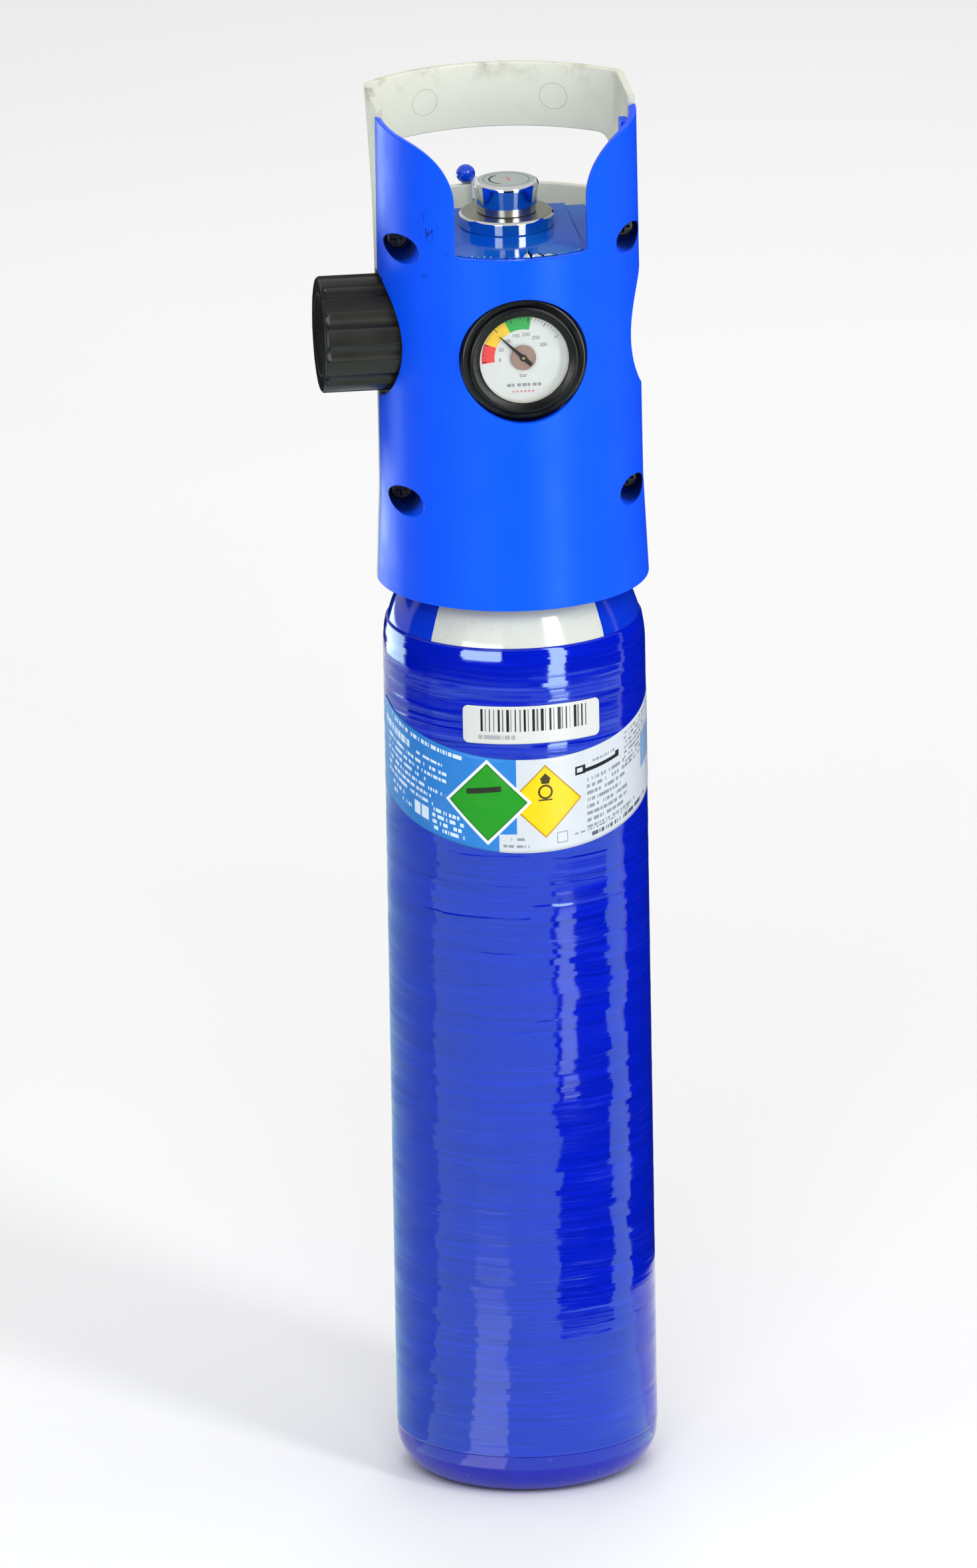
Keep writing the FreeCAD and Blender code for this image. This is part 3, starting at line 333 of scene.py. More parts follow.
def shoulder_paint():
    """Gloss paint in alternating quarters on the shoulder, blue everywhere else."""
    s = Shader("shoulder_paint")
    x, y, z = s.axes()
    angle = s.calc("ARCTAN2", x, s.calc("MULTIPLY", y, -1.0))
    wobble = s.ramp(s.cloud(60, 2.0), 0.2, 0.8, -0.012, 0.012)
    turns = s.calc("DIVIDE", s.total(angle, math.radians(48 + 360), wobble), math.pi)
    quarter = s.calc("LESS_THAN", s.calc("FRACT", turns), 0.48)
    white = s.all_of(quarter, s.calc("GREATER_THAN", z, SHOULDER_FROM_Z))
    speckle = s.ramp(s.cloud(260, 4.0), 0.62, 0.75, 0.0, 0.45)
    pale = s.mix(speckle, WHITE_PAINT, linear(170, 172, 165))
    blue = s.mix(s.cloud(40, 4.0), scaled(BLUE_PAINT, 0.8), scaled(BLUE_PAINT, 1.15))
    foot = s.calc("LESS_THAN", z, LINER_FOOT_TOP_Z)
    blue = s.mix(foot, blue, s.mix(s.cloud(90, 4.0), scaled(BLUE_WOUND, 0.75), scaled(BLUE_WOUND, 1.1)))
    chips = s.all_of(foot, s.ramp(s.cloud(330, 4.0, stretch=(1, 1, 0.6)), 0.7, 0.74, 0.0, 0.4))
    blue = s.mix(chips, blue, linear(120, 130, 160))
    s.set(Base_Color=s.mix(white, blue, pale), Roughness=s.ramp(s.cloud(80, 3.0), 0.3, 0.7, 0.07, 0.13))
    s.bump(s.cloud(150, 2.0), 0.05, 0.6)
    s.bump(s.cloud(700, 2.0), 0.004, 0.6)
    return s.material


def wound_body():
    """Deep blue hoop winding under a clear coat: strands, and bands that each mirror at their own slant."""
    s = Shader("wound_body")
    x, y, z = s.axes()
    angle = s.calc("ARCTAN2", x, s.calc("MULTIPLY", y, -1.0))
    climb = s.total(z, s.calc("MULTIPLY", angle, WINDING_PITCH / (2 * math.pi)),
                    s.ramp(s.cloud(14, 2.0, stretch=(1, 1, 2)), 0.3, 0.7, -0.0012, 0.0012))
    unrolled = s.vector(s.calc("MULTIPLY", angle, BODY_RADIUS), climb, 0.0)
    strands = s.cloud(1.0, 4.0, stretch=(20, 1500, 1), source=unrolled, rough=0.7)
    threads = s.cloud(1.0, 2.0, stretch=(12, 520, 1), source=unrolled)
    bands = s.cloud(1.0, 3.0, stretch=(7, 150, 1), source=unrolled)
    blots = s.cloud(1.0, 3.0, stretch=(34, 90, 1), source=unrolled)
    around, upward = [], []
    for pitch, reach in ((0.0023, 0.035), (0.0057, 0.036)):
        row = s.calc("FLOOR", s.calc("DIVIDE", climb, pitch))
        own = s.vector(s.calc("MULTIPLY", angle, 2.2), s.calc("MULTIPLY", row, 7.31), pitch / MM)
        around.append(s.ramp(s.cloud(1.0, 1.0, source=own), 0.25, 0.75, -reach, reach))
        upward.append(s.ramp(s.dice(s.vector(row, pitch / MM / 2, 3.0)), 0.0, 1.0, -0.008, 0.008))
    s.lean(s.total(*around), s.total(*upward))
    colour = s.mix(s.ramp(strands, 0.38, 0.62), scaled(BLUE_WOUND, 0.78), scaled(BLUE_WOUND, 1.18))
    colour = s.mix(s.ramp(threads, 0.40, 0.62, 0.0, 0.45), colour, scaled(BLUE_WOUND, 1.35))
    colour = s.mix(s.ramp(bands, 0.44, 0.62, 0.0, 0.3), colour, scaled(BLUE_WOUND, 0.75))
    dust = s.all_of(s.ramp(strands, 0.55, 0.66), s.ramp(blots, 0.45, 0.66),
                    s.ramp(z, 0.02, 0.16, 0.5, 0.12))
    s.set(Base_Color=s.mix(dust, colour, linear(80, 106, 170)), Specular_IOR_Level=0.6,
          Specular_Tint=(0.72, 1.0, 0.85, 1.0),
          Roughness=s.ramp(s.total(blots, s.calc("MULTIPLY", strands, 0.5)), 0.6, 0.95, 0.05, 0.13))
    s.bump(strands, 0.012, 0.6)
    s.bump(threads, 0.03, 0.6)
    return s.material


def text_rows(s, u, v, left, right, bottom, top, pitch, weight, seed):
    """Mask of short dashes set in rows of uneven length, standing for small print."""
    rows_down = s.calc("DIVIDE", s.calc("SUBTRACT", top, v), pitch)
    row = s.calc("FLOOR", rows_down)
    chance = s.dice(s.vector(row, seed, 0.0))
    letter = s.calc("FLOOR", s.calc("DIVIDE", s.total(u, s.calc("MULTIPLY", chance, 3.0)), 0.5))
    pair = s.calc("FLOOR", s.calc("DIVIDE", letter, 2.0))
    inked = s.calc("GREATER_THAN", s.dice(s.vector(letter, row, seed)), 0.27)
    no_space = s.calc("GREATER_THAN", s.dice(s.vector(pair, row, seed + 9)), 0.14)
    stop = s.calc("SUBTRACT", right, s.calc("MULTIPLY", chance, 0.35 * (right - left)))
    return s.all_of(s.between(v, bottom, top), s.between(u, left, stop),
                    s.calc("LESS_THAN", s.calc("FRACT", rows_down), weight), inked, no_space)


def rectangle(s, u, v, left, right, bottom, top):
    return s.all_of(s.between(u, left, right), s.between(v, bottom, top))


def diamond(s, u, z, centre_u, centre_z, half):
    reach = s.total(s.calc("ABSOLUTE", s.calc("SUBTRACT", u, centre_u)),
                    s.calc("ABSOLUTE", s.calc("SUBTRACT", z, centre_z)))
    return s.calc("LESS_THAN", reach, half)


def disc(s, u, z, centre_u, centre_z, radius):
    return s.calc("LESS_THAN", s.distance(s.vector(u, z), (centre_u, centre_z, 0.0)), radius)


def film_finish(s, colour):
    """Printed film: slight yellowing, small wrinkles and a satin gloss."""
    s.set(Base_Color=s.mix(s.ramp(s.cloud(70, 4.0), 0.55, 0.8, 0.0, 0.12), colour, linear(160, 160, 146)),
          Roughness=s.ramp(s.cloud(120, 3.0), 0.3, 0.7, 0.2, 0.32), Specular_IOR_Level=0.2)
    s.bump(s.cloud(160, 2.0), 0.03, 0.5)
    return s.material


def contents_film():
    """Curved contents banner: a blue field, an off-white field, two plain diamonds and rows of small print.

    u runs round the body from its front, v up from the banner's lower edge and z up from the floor, all
    in mm."""
    s = Shader("contents_film")
    u, v, _ = s.axes(s.uv)
    z = s.calc("DIVIDE", s.axes()[2], MM)
    below_step = s.calc("LESS_THAN", z, 267.0)
    blue_side = s.calc("LESS_THAN", u, s.calc("SUBTRACT", -6.2, s.calc("MULTIPLY", below_step, 6.8)))
    pale_side = s.opposite(blue_side)

    def print_rows(rows):
        return s.any_of(*(text_rows(s, u, v, *row) for row in rows))

    # each row: left, right, bottom, top, pitch, weight, seed
    white_print = print_rows((
        (-68, -21, 32.6, 35.3, 2.7, 0.6, 1.0), (-73, -50, 26.6, 31.2, 4.6, 0.62, 2.0),
        (-49, -30, 26.8, 29.4, 2.6, 0.42, 13.0), (-70, -31, 9.6, 26.4, 2.8, 0.46, 3.0),
        (-66, -52, 3.6, 9.2, 2.8, 0.5, 4.0), (-41, -24, 1.2, 10.8, 2.4, 0.6, 5.0)))
    white_blocks = s.any_of(rectangle(s, u, v, -50.4, -47.1, 4.4, 9.4),
                            rectangle(s, u, v, -46.4, -42.8, 4.4, 9.4))
    dark_print = print_rows((
        (22, 49, 5.6, 25.6, 2.7, 0.5, 6.0), (24, 40, 30.6, 32.2, 1.6, 0.6, 7.0),
        (42, 66, 21.5, 35.5, 1.9, 0.5, 8.0), (-11.5, 0.5, 1.4, 3.2, 1.8, 0.6, 9.0),
        (-8.5, -1.5, 4.2, 6.0, 1.8, 0.6, 10.0), (16, 60, 3.9, 5.3, 1.4, 0.5, 11.0)))
    bold_print = print_rows(((24, 64, 1.5, 3.6, 2.1, 0.75, 14.0),))
    heavy_rule = s.any_of(
        rectangle(s, u, v, 21.5, 38.5, 28.2, 29.7), rectangle(s, u, v, 36.4, 38.5, 28.2, 30.8),
        s.all_of(rectangle(s, u, v, 17.0, 21.5, 28.0, 31.4),
                 s.opposite(rectangle(s, u, v, 17.8, 20.2, 28.9, 30.6))))
    small_frame = s.all_of(rectangle(s, u, v, 9.2, 13.6, 2.8, 7.2),
                           s.opposite(rectangle(s, u, v, 9.55, 13.25, 3.15, 6.85)))
    panel = rectangle(s, u, v, 55.5, 68.0, 14.0, 27.5)

    colour = s.mix(blue_side, linear(194, 201, 208), linear(36, 120, 200))
    colour = s.mix(s.all_of(s.any_of(white_print, white_blocks), blue_side), colour, linear(205, 224, 240))
    print_depth = s.any_of(s.calc("MULTIPLY", dark_print, 0.62), s.calc("MULTIPLY", bold_print, 0.9))
    colour = s.mix(s.all_of(print_depth, pale_side), colour, linear(56, 64, 84))
    rule_depth = s.any_of(heavy_rule, s.calc("MULTIPLY", small_frame, 0.6))
    colour = s.mix(s.all_of(rule_depth, pale_side), colour, linear(20, 22, 30))
    colour = s.mix(panel, colour, linear(128, 158, 192))

    def diamonds(colour, centre_u, layers):
        for half, tint in layers:
            colour = s.mix(diamond(s, u, z, centre_u, DIAMOND_Z_MM, half), colour, tint)
        return colour

    # the green diamond overlaps the yellow one
    colour = diamonds(colour, YELLOW_U_MM, ((14.6, linear(176, 128, 10)), (13.8, linear(236, 196, 0))))
    ring = s.all_of(disc(s, u, z, YELLOW_U_MM, 283.4, 2.9),
                    s.opposite(disc(s, u, z, YELLOW_U_MM, 283.4, 2.1)))
    drop = s.any_of(s.all_of(disc(s, u, z, YELLOW_U_MM, 287.6, 1.7), s.calc("GREATER_THAN", z, 286.6)),
                    diamond(s, u, z, YELLOW_U_MM, 288.6, 2.2))
    colour = s.mix(s.any_of(ring, drop, rectangle(s, u, z, 2.2, 7.6, 279.9, 280.5)), colour,
                   linear(58, 50, 16))
    colour = diamonds(colour, GREEN_U_MM, ((17.0, linear(216, 224, 226)), (15.4, linear(12, 84, 22)),
                                           (14.9, linear(26, 142, 26))))
    slanted_z = s.calc("SUBTRACT", z, s.calc("MULTIPLY", s.calc("ADD", u, 18.6), 0.12))
    colour = s.mix(rectangle(s, u, slanted_z, -25.6, -12.0, 283.2, 285.4), colour, linear(34, 42, 26))
    return film_finish(s, colour)


def barcode_film():
    """White sticker with bars of uneven width and one row of small marks."""
    s = Shader("barcode_film")
    u, v, _ = s.axes(s.uv)
    groups_along = s.calc("DIVIDE", u, 3.3)
    group, inside = s.calc("FLOOR", groups_along), s.calc("FRACT", groups_along)
    bars = 0.0
    for number, (start, low, high, shade) in enumerate(((0.04, 0.12, 0.42, 1.0), (0.56, 0.06, 0.24, 0.8))):
        width = s.ramp(s.dice(s.vector(group, 3.0 * number, 1.0)), 0.0, 1.0, low, high)
        first = s.total(start, s.calc("MULTIPLY", s.dice(s.vector(group, 5.0, number)), 0.06))
        bar = s.between(inside, first, s.total(first, width))
        bars = s.any_of(bars, s.calc("MULTIPLY", bar, shade))
    bars = s.all_of(bars, rectangle(s, u, v, -20.8, 22.6, 4.9, 13.7))
    marks = text_rows(s, u, v, -20.5, 0.0, 1.4, 3.5, 2.1, 0.8, 12.0)
    colour = s.mix(bars, linear(200, 204, 202), linear(26, 28, 34))
    colour = s.mix(s.calc("MULTIPLY", marks, 0.5), colour, linear(90, 94, 110))
    return film_finish(s, colour)


def clear_window():
    """Thin clear window: passes light straight and mirrors a little at glancing angles."""
    s = Shader("clear_window")
    clear = s.add("ShaderNodeBsdfTransparent", {"Color": (0.97, 0.98, 0.98, 1.0)})
    haze = s.ramp(s.cloud(60, 4.0), 0.4, 0.8, 0.02, 0.07)
    gloss = s.add("ShaderNodeBsdfGlossy", {"Roughness": haze, "Color": (1, 1, 1, 1)})
    share = s.calc("MULTIPLY", s.add("ShaderNodeFresnel", {"IOR": 1.45}).outputs[0], 0.5)
    s.blend_output(share, clear, gloss)
    s.tree.nodes.remove(s.surface)
    return s.material


def chrome():
    """Polished plate, with glossy blue enamel on the valve's flat top and a dull ring round the outlet,
    whose dark brownish tint is a painted reflection.
    """
    s = metal("polished_chrome", (0.80, 0.81, 0.83, 1.0), 0.045, brush=(1, 1, 1), brush_scale=420,
              wear=0.12, depth_mm=0.003)
    z = s.axes()[2]
    enamelled = s.between(z, *VALVE_TOP_Z)
    # The ring top's rougher finish is its own. Its dark brownish base colour is a painted reflection of its
    # surroundings.
    dull_and_painted_reflection = s.between(z, *OUTLET_RING_TOP_Z)
    plate = s.mix(s.calc("MULTIPLY", dull_and_painted_reflection, 0.85), s.fed("Base Color"), (0.16, 0.155, 0.105, 1.0))
    enamel = s.mix(s.ramp(s.cloud(50, 4.0), 0.35, 0.7), (0.001, 0.07, 0.48, 1.0), (0.006, 0.11, 0.42, 1.0))
    s.set(Base_Color=s.mix(enamelled, plate, enamel), Metallic=s.opposite(enamelled),
          Roughness=s.total(s.fed("Roughness"), s.calc("MULTIPLY", dull_and_painted_reflection, 0.26)),
          Specular_IOR_Level=s.ramp(enamelled, 0.0, 1.0, 0.5, 0.05),
          Specular_Tint=s.mix(enamelled, (1.0, 1.0, 1.0, 1.0), (0.4, 0.75, 1.0, 1.0)))
    return s.material


def ink(name, colour, rough=0.5):
    s = Shader(name)
    s.set(Base_Color=s.mix(s.cloud(900, 3.0), scaled(colour, 0.85), scaled(colour, 1.12)), Roughness=rough)
    s.bump(s.cloud(2500, 2.0), 0.003)
    return s.material


def dial_card():
    s = Shader("dial_card")
    s.set(Base_Color=s.mix(s.cloud(220, 4.0), linear(208, 211, 210), linear(222, 224, 223)),
          Roughness=s.ramp(s.cloud(300, 2.0), 0.3, 0.7, 0.4, 0.55))
    s.bump(s.cloud(3000, 2.0), 0.004)
    return s.material


MATERIALS = {
    "liner_blue": shoulder_paint(),
    "wound_body": wound_body(),
    "guard_blue": guard_blue(),
    "guard_cream": guard_cream(),
    "black_plastic": plastic("black_plastic", linear(21, 18, 14), 0.34, grain_mm=0.02, grain_scale=1500,
                             mottle=0.25, scuff=0.25, shine=0.3).material,
    "black_rubber": rubber("black_rubber", linear(4, 4, 5), 0.3).material,
    "seal_rubber": rubber("seal_rubber", linear(20, 20, 21), 0.35).material,
    "valve_chrome": chrome(),
    "brass": metal("machined_brass", (0.75, 0.53, 0.22, 1.0), 0.22, stain=(0.42, 0.25, 0.1, 1.0)).material,
    "black_steel": metal("blackened_screw", (0.045, 0.045, 0.05, 1.0), 0.3).material,
    "steel": metal("zinc_steel", (0.42, 0.42, 0.44, 1.0), 0.28, stain=(0.2, 0.18, 0.16, 1.0)).material,
    "spring_steel": metal("spring_steel", (0.56, 0.56, 0.58, 1.0), 0.2).material,
    "seat_plastic": plastic("seat_plastic", linear(226, 224, 214), 0.4, scuff=0.05).material,
    "gauge_glass": clear_window(),
    "dial_white": dial_card(),
    "hub_copper": metal("hub_copper", (0.30, 0.20, 0.17, 1.0), 0.42, brush=(12, 1, 1),
                        brush_scale=700).material,
    "needle_black": ink("needle_black", linear(22, 20, 22), 0.35),
    "cap_grey": plastic("cap_grey", linear(158, 166, 163), 0.34, scuff=0.15).material,
    "bead_blue": plastic("bead_blue", linear(0, 62, 206), 0.1, coat=0.4, mottle=0.1, scuff=0.05).material,
    "clip_clear": plastic("clip_clear", linear(214, 220, 226), 0.25, coat=0.3).material,
}
INKS = {
    "red": ink("ink_red", linear(232, 52, 56)), "yellow": ink("ink_yellow", linear(246, 198, 28)),
    "green": ink("ink_green", linear(30, 164, 72)), "grey": ink("ink_grey", linear(96, 98, 104)),
    "black": ink("ink_black", linear(34, 34, 38)), "rose": ink("ink_rose", linear(214, 140, 150)),
    "pale": ink("ink_pale", linear(142, 144, 150)),
}


# ---------------------------------------------------------------- pieces
def place_piece(name, mesh, body, materials, node=None):
    piece = bpy.data.objects.new(name, mesh)
    bpy.context.collection.objects.link(piece)
    for material in materials:
        mesh.materials.append(material)
    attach(piece, body)
    if node:
        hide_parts(node)
    return piece


def refine(node, width_mm, look=None):
    """A finer copy of a CAD node: welded, with its sharp edges rounded and smooth shading."""
    bm = bmesh.new()
    bm.from_mesh(frame["nodes"][node].data)
    bmesh.ops.remove_doubles(bm, verts=bm.verts, dist=2e-6)
    bmesh.ops.dissolve_limit(bm, angle_limit=math.radians(0.4), verts=bm.verts, edges=bm.edges,
                             delimit={"NORMAL"})
    for face in bm.faces:
        face.smooth = True
    mesh = bpy.data.meshes.new(node + "_look")
    bm.to_mesh(mesh)
    bm.free()
    slot = SLOT_OF[node]
    piece = place_piece(mesh.name, mesh, BODY_OF[node], [look or MATERIALS[slot]], node)
    bevel = piece.modifiers.new("edges", "BEVEL")
    bevel.width = width_mm * MM
    bevel.segments = 3
    bevel.limit_method = "ANGLE"
    bevel.angle_limit = math.radians(32.0)
    bevel.use_clamp_overlap = False
    bevel.harden_normals = False
    piece.modifiers.new("shading", "WEIGHTED_NORMAL").keep_sharp = False


def pushed_spring(node):
    """A copy of a coil spring, carrying its slot's material, in place of its CAD node."""
    mesh = frame["nodes"][node].data.copy()
    mesh.materials.clear()
    mesh.name = node + "_look"
    slot = SLOT_OF[node]
    piece = place_piece(mesh.name, mesh, BODY_OF[node], [MATERIALS[slot]], node)
    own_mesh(piece)


def grid_mesh(name, points, closed=False):
    """A quad mesh through an array of points [row, column, 3] in millimetres; closed joins the last column
    to the first."""
    rows, columns, _ = points.shape
    mesh = bpy.data.meshes.new(name)
    span = columns if closed else columns - 1
    r, c = np.meshgrid(np.arange(rows - 1), np.arange(span), indexing="ij")
    n = (c + 1) % columns
    quads = np.stack([r * columns + c, r * columns + n, (r + 1) * columns + n, (r + 1) * columns + c], -1)
    mesh.from_pydata((points.reshape(-1, 3) * MM).tolist(), [], quads.reshape(-1, 4).tolist())
    mesh.shade_smooth()
    return mesh


def thicken(piece, name, thickness_mm, offset):
    solid = piece.modifiers.new(name, "SOLIDIFY")
    solid.thickness = thickness_mm * MM
    solid.offset = offset


def winding():
    """The wound body: a surface of revolution stepped where each band of strands was laid."""
    low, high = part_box("composite_wrap")
    radius = high[0] / MM
    bottom, top = low[2] / MM, high[2] / MM
    straight = np.linspace(bottom, DOME_START_MM, 760)
    arc = np.linspace(0.02, math.asin((top - DOME_START_MM) / radius), 30)
    base_r = np.concatenate([np.full(straight.shape, radius), radius * np.cos(arc)])
    base_z = np.concatenate([straight, DOME_START_MM + radius * np.sin(arc)])
    base_z[-1] = top
    turn = np.linspace(0, 2 * math.pi, 240, endpoint=False)
    angle, height = np.meshgrid(turn, base_z)
    climb = height + angle * WINDING_PITCH / MM / (2 * math.pi)
    bands = 90
    edges = np.cumsum([random.uniform(1.6, 6.5) for _ in range(bands)])
    levels = np.array([random.uniform(0.0, 0.045) for _ in range(bands + 1)])
    band = np.searchsorted(edges, climb)
    wave = np.array([noise.noise((2.4 * math.cos(a), 2.4 * math.sin(a), 9.7 * b))
                     for a, b in zip(angle.ravel(), band.ravel())]).reshape(angle.shape)
    depth = 0.03 + levels[band] + 0.04 * (1 + wave)
    ease = np.clip((height - bottom) / 3.0, 0, 1) * np.clip((top - height) / 2.5, 0, 1)
    r = base_r[:, None] - depth * ease
    # both ends are rounded over
    r = r - 0.55 * (1 - np.clip((top - height) / 0.9, 0, 1)) ** 2
    r = r - 0.35 * (1 - np.clip((height - bottom) / 1.2, 0, 1)) ** 2
    points = np.stack([r * np.sin(angle), -r * np.cos(angle), height], -1)
    mesh = grid_mesh("winding", points, closed=True)
    piece = place_piece("winding", mesh, BODY_OF["composite_wrap"], [MATERIALS["wound_body"]],
                        "composite_wrap")
    thicken(piece, "wall", 0.5, -1.0)


def sticker(name, node, edges, left_mm, right_mm, corner_mm, material):
    """A thin film bent round the body, with rounded corners. edges(angle) gives its low and high edges."""
    clearance_mm = 0.012
    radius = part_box("composite_wrap")[1][0] / MM + clearance_mm
    columns, rows = 260, 26
    u = np.linspace(left_mm, right_mm, columns)
    near_end = np.minimum(u - left_mm, right_mm - u)
    cut = corner_mm - np.sqrt(np.maximum(corner_mm ** 2 - np.maximum(corner_mm - near_end, 0) ** 2, 0))
    angle = u / radius
    low, high = edges(angle)
    share = np.linspace(0, 1, rows)[:, None]
    z = (low + cut)[None, :] * (1 - share) + (high - cut)[None, :] * share
    x = np.broadcast_to(radius * np.sin(angle), z.shape)
    y = np.broadcast_to(-radius * np.cos(angle), z.shape)
    points = np.stack([x, y, z], -1)
    mesh = grid_mesh(name, points)
    layer = mesh.uv_layers.new(name="print")
    flat = np.stack([np.broadcast_to(u, z.shape), z - low[None, :]], -1).reshape(-1, 2)
    corner = np.empty(len(mesh.loops), dtype=np.int32)
    mesh.loops.foreach_get("vertex_index", corner)
    layer.data.foreach_set("uv", flat[corner].astype(np.float32).ravel())
    piece = place_piece(name, mesh, BODY_OF[node], [material], node)
    thicken(piece, "film", 0.07, 1.0)


def banner_edges(angle):
    rise = BANNER_RISE * BODY_RADIUS / MM * (1 - np.cos(angle))
    return BANNER_LOW_MM + rise, BANNER_HIGH_MM + rise


def barcode_edges(angle):
    return np.full(angle.shape, BARCODE_LOW_MM), np.full(angle.shape, BARCODE_HIGH_MM)


class PrintSheet:
    """Thin printed shapes on a flat face, gathered into one mesh with one material per ink."""

    def __init__(self, inks):
        self.bm = bmesh.new()
        self.inks = inks

    def shape(self, points, ink_name):
        face = self.bm.faces.new([self.bm.verts.new((x, y, 0.0)) for x, y in points])
        face.material_index = self.inks.index(ink_name)

    def dashes(self, start, pitch, widths, low, high, ink_name):
        for number, width in enumerate(widths):
            x = start + pitch * number
            self.shape([(x, low), (x + width, low), (x + width, high), (x, high)], ink_name)

    def sector(self, inner, outer, start, end, ink_name, steps=24):
        """Angles run clockwise from the top, in degrees."""
        turns = [math.radians(start + (end - start) * k / steps) for k in range(steps + 1)]
        ring = [(outer * math.sin(t), outer * math.cos(t)) for t in turns]
        ring += [(inner * math.sin(t), inner * math.cos(t)) for t in reversed(turns)]
        self.shape(ring, ink_name)

    def text(self, words, size, x, y, ink_name):
        curve = bpy.data.curves.new("figure", "FONT")
        curve.body, curve.size = words, size
        curve.align_x, curve.align_y = "CENTER", "CENTER"
        holder = bpy.data.objects.new("figure", curve)
        mesh = bpy.data.meshes.new_from_object(holder)
        first = len(self.bm.faces)
        mesh.transform(Matrix.Translation((x, y, 0)))
        self.bm.from_mesh(mesh)
        self.bm.faces.ensure_lookup_table()
        for face in self.bm.faces[first:]:
            face.material_index = self.inks.index(ink_name)
        bpy.data.objects.remove(holder)
        bpy.data.meshes.remove(mesh)

    def finish(self, name, matrix, body):
        self.bm.transform(matrix @ Matrix.Scale(MM, 4))
        mesh = bpy.data.meshes.new(name)
        self.bm.to_mesh(mesh)
        self.bm.free()
        piece = place_piece(name, mesh, body, [INKS[i] for i in self.inks])
        thicken(piece, "ink", 0.03, 1.0)


# Dial: turns are degrees clockwise from the top.
ZERO_TURN, TURN_PER_BAR, FULL_BAR = 265.0, 25.8 / 50.0, 300
SCALE_OUTER_MM, BANDS_INNER_MM, FIGURES_R_MM = 15.8, 10.9, 8.9


def dial_print():
    """Colour bands, ticks, numbers and unit of the content gauge."""
    sheet = PrintSheet(["red", "yellow", "green", "grey", "pale", "rose"])
    for start, end, ink_name in ((262.5, 292.0, "red"), (292.0, 334.0, "yellow"), (334.0, 372.5, "green")):
        sheet.sector(BANDS_INNER_MM, SCALE_OUTER_MM, start, end, ink_name)
    for bar in range(0, FULL_BAR + 1, 10):
        turn = ZERO_TURN + bar * TURN_PER_BAR
        numbered = bar % 50 == 0
        inner, half = (14.0, 0.55) if numbered else (14.9, 0.3)
        sheet.sector(inner, SCALE_OUTER_MM, turn - half, turn + half, "grey", 2)
        if numbered:
            t = math.radians(turn)
            sheet.text(str(bar), 2.0, FIGURES_R_MM * math.sin(t), FIGURES_R_MM * math.cos(t), "grey")
    sheet.text("bar", 2.3, 0.0, -7.2, "grey")
    sheet.dashes(-6.3, 1.95, (1.6, 0.9, 1.4, 1.6, 1.1, 1.5, 1.3), -11.5, -10.3, "pale")
    sheet.dashes(-4.4, 1.5, [1.0] * 6, -13.8, -13.1, "rose")
    low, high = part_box("gauge_dial")
    in_front_of_card = Matrix.Translation((0, low[1] - 0.02 * MM, (low[2] + high[2]) / 2))
    sheet.finish("dial_print", in_front_of_card @ Matrix.Rotation(math.pi / 2, 4, "X"),
                 BODY_OF["gauge_dial"])


def cap_print():
    """Black arc, thin grey circle and red mark on the grey disc of the outlet cap."""
    sheet = PrintSheet(["black", "red", "grey"])
    sheet.sector(6.0, 6.9, 205, 330, "black")
    sheet.sector(8.6, 9.0, 0, 359.9, "grey", 60)
    sheet.shape([(0.9, -1.8), (1.5, -1.8), (0.9, 2.6), (0.2, 2.6)], "red")
    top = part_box("outlet_cap_face")[1][2]
    sheet.finish("cap_print", Matrix.Translation((0, 0, top + 0.01 * MM)), BODY_OF["outlet_cap_face"])


winding()
sticker("contents_banner", "contents_label", banner_edges, -76.0, 72.5, 2.0, contents_film())
sticker("barcode_sticker", "barcode_label", barcode_edges, -26.6, 28.3, 2.2, barcode_film())
dial_print()
cap_print()

EDGE_WIDTH_MM = {
    "guard_front": 0.55, "guard_rear": 0.55, "valve_body": 0.35, "guard_screws": 0.12,
    "outlet_socket": 0.15, "outlet_cap": 0.15, "handwheel": 0.35, "handwheel_cap": 0.15,
    "gauge_bezel": 0.15, "gland_nut": 0.25, "fill_nipple": 0.2, "relief_plug": 0.2,
    "seal_clip": 0.15, "outlet_cap_face": 0.05,
}
BEZEL_BLACK = plastic("bezel_black", linear(4, 4, 5), 0.3, grain_scale=1500, shine=0.2).material
for node, width in EDGE_WIDTH_MM.items():
    refine(node, width, BEZEL_BLACK if node == "gauge_bezel" else None)

pushed_spring("outlet_spring")
pushed_spring("fill_check_spring")

for node, carried in frame["nodes"].items():
    for place in carried.material_slots:
        place.link = "OBJECT"
        place.material = MATERIALS.get(SLOT_OF[node], MATERIALS["steel"])


# ---------------------------------------------------------------- room
def make_camera():
    """Long lens from slightly above and slightly to the handwheel's side, with a degree of roll."""
    azimuth, elevation, roll = (math.radians(a) for a in (-7.0, 17.5, 1.0))
    distance, share = 12.0, 0.92
    back = Vector((math.sin(azimuth) * math.cos(elevation), -math.cos(azimuth) * math.cos(elevation),
                   math.sin(elevation)))
    centre = (CAD_LOW + CAD_HIGH) / 2
    tall = (CAD_HIGH.z - CAD_LOW.z) * math.cos(elevation) + (CAD_HIGH.y - CAD_LOW.y) * math.sin(elevation)
    data = bpy.data.cameras.new("camera")
    data.sensor_width = 36.0
    data.lens = data.sensor_width * distance / (tall / share)
    data.clip_start, data.clip_end = 0.1, 60.0
    camera = bpy.data.objects.new("camera", data)
    bpy.context.collection.objects.link(camera)
    camera.location = centre + back * distance
    facing = (-back).to_track_quat("-Z", "Y").to_matrix() @ Matrix.Rotation(-roll, 3, "Z")
    camera.rotation_euler = facing.to_euler()
    bpy.context.scene.camera = camera


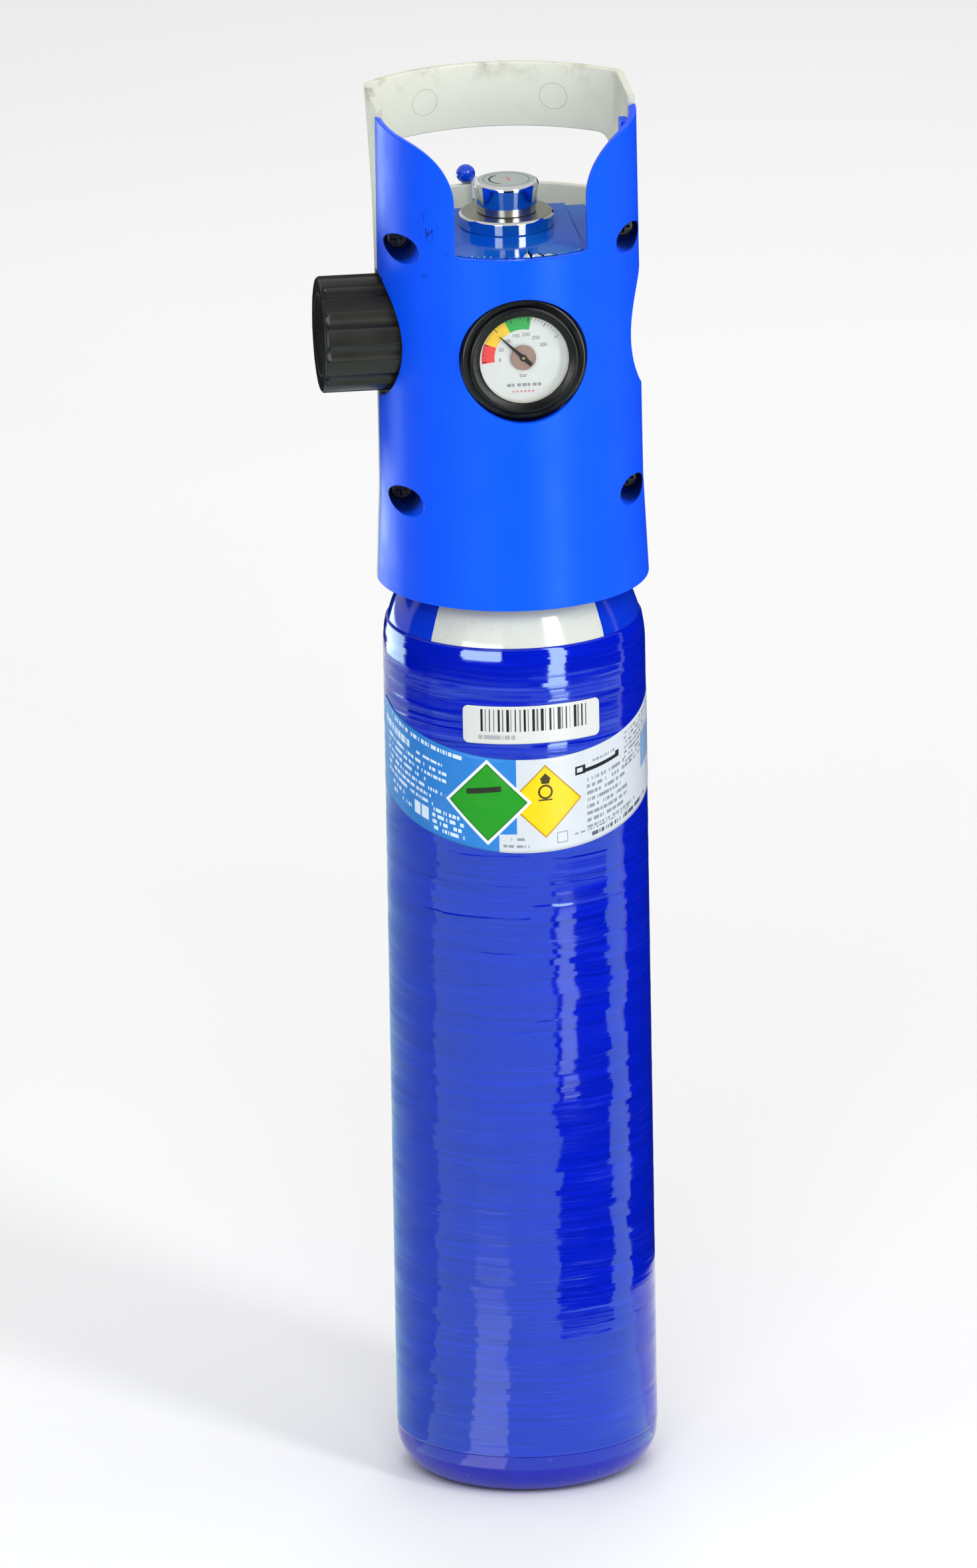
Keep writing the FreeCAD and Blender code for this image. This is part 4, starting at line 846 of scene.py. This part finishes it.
def area_light(name, position, target, width, height, power):
    data = bpy.data.lights.new(name, "AREA")
    data.shape, data.size, data.size_y = "RECTANGLE", width, height
    data.energy = power
    light = bpy.data.objects.new(name, data)
    bpy.context.collection.objects.link(light)
    light.location = position
    light.visible_glossy = False
    light.rotation_euler = (Vector(target) - Vector(position)).to_track_quat("-Z", "Y").to_euler()


def make_floor():
    s = Shader("floor_paper")
    s.set(Base_Color=s.mix(s.cloud(3.0, 3.0), linear(236, 236, 236), linear(240, 240, 240)), Roughness=0.85,
          Specular_IOR_Level=0.1)
    mesh = bpy.data.meshes.new("floor")
    half = 30.0
    corners = [(-half, -half, 0), (half, -half, 0), (half, half, 0), (-half, half, 0)]
    mesh.from_pydata(corners, [], [(0, 1, 2, 3)])
    mesh.materials.append(s.material)
    floor = bpy.data.objects.new("floor", mesh)
    bpy.context.collection.objects.link(floor)


def studio_card(name, start, end, low, high, colour, strength, broken=False, dim_from=9.0):
    """A curved card seen only in reflections. Angles run from the front towards +X, in degrees. low and
    high are the (radius, height) of its two long edges. A broken card thins out into strips away from the
    axis. Above the height dim_from a card is nearly dark."""
    steps = 12
    turns = [math.radians(start + (end - start) * k / steps) for k in range(steps + 1)]
    points = [(r * math.sin(t), -r * math.cos(t), z) for r, z in (low, high) for t in turns]
    faces = [(k, k + 1, k + steps + 2, k + steps + 1) for k in range(steps)]
    mesh = bpy.data.meshes.new(name)
    mesh.from_pydata(points, [], faces)
    s = Shader(name)
    s.set(Base_Color=(0, 0, 0, 1), Specular_IOR_Level=0.0, Roughness=1.0,
          Emission_Color=s.mix(s.cloud(9, 3.0), scaled(colour, 0.8), colour),
          Emission_Strength=s.ramp(s.axes()[2], dim_from, dim_from + 0.06, strength, strength * 0.1))
    if broken:
        away = s.add("ShaderNodeVectorMath", {0: s.place}, operation="LENGTH").outputs["Value"]
        strips = s.cloud(1.0, 2.0, source=s.vector(s.calc("MULTIPLY", away, 110.0), 0.0))
        lit = s.ramp(s.calc("SUBTRACT", strips, s.ramp(away, 0.14, 0.6, 0.36, 0.74)), 0.0, 0.03)
        s.blend_output(lit, s.add("ShaderNodeBsdfTransparent"), s.surface)
    mesh.materials.append(s.material)
    card = bpy.data.objects.new(name, mesh)
    bpy.context.collection.objects.link(card)
    card.visible_camera = False
    card.visible_diffuse = False
    card.visible_shadow = False
    card.visible_transmission = False


def make_light():
    world = bpy.data.worlds.new("studio")
    bpy.context.scene.world = world
    world.use_nodes = True
    background = world.node_tree.nodes["Background"]
    background.inputs["Color"].default_value = (1.0, 1.0, 1.0, 1.0)
    background.inputs["Strength"].default_value = 0.7
    target = (0, 0, 0.3)
    area_light("key", (-0.35, -1.85, 1.7), target, 1.2, 1.0, 20)
    area_light("strip", (0.85, -1.25, 1.0), (0, 0, 0.45), 0.26, 1.9, 14)
    area_light("back", (0.4, 1.8, 1.6), target, 1.2, 0.8, 12)
    deep, white = (0.01, 0.03, 0.3, 1.0), (1.0, 1.0, 1.0, 1.0)
    studio_card("card_near", 21, 70, (0.24, 0.0), (0.24, 0.185), deep, 0.5)
    studio_card("card_bright", 25, 38, (0.23, 0.105), (0.23, 0.18), white, 3.2)
    studio_card("card_side", 93, 165, (0.26, 0.0), (0.26, 0.55), deep, 0.5)
    studio_card("card_floor", -47, -20, (0.06, 0.003), (0.62, 0.003), white, 3.2, broken=True)
    studio_card("card_front", -85, 95, (0.06, 0.002), (1.04, 0.002), (0.75, 1.0, 0.85, 1.0), 1.6)
    studio_card("card_chrome", -42, -18, (0.3, 0.56), (0.3, 0.74), (0.9, 1.0, 0.96, 1.0), 5.0)
    studio_card("card_knob", -180, -159, (1.1, 0.01), (1.1, 0.3), deep, 0.05)
    studio_card("card_behind_knob", -154, -112, (0.16, 0.365), (0.16, 0.46), (0.3, 0.34, 0.3, 1.0), 0.03)
    studio_card("card_left", -175, -85, (0.08, 0.002), (1.0, 0.002), (0.55, 0.85, 0.95, 1.0), 1.0)
    studio_card("card_rim", -157, -118, (1.1, 0.01), (1.1, 0.24), (0.8, 1.0, 1.0, 1.0), 6.0)
    studio_card("card_dark", -115, 95, (1.06, 0.0), (1.3, 0.95), deep, 0.12)
    studio_card("card_key", -53, -17, (1.0, 0.3), (0.75, 1.05), white, 13.0, dim_from=0.5)
    studio_card("card_strip", 22, 38, (0.98, 0.02), (0.75, 1.3), white, 13.0)
    bpy.context.scene.view_settings.view_transform = "Standard"


make_camera()
make_floor()
make_light()
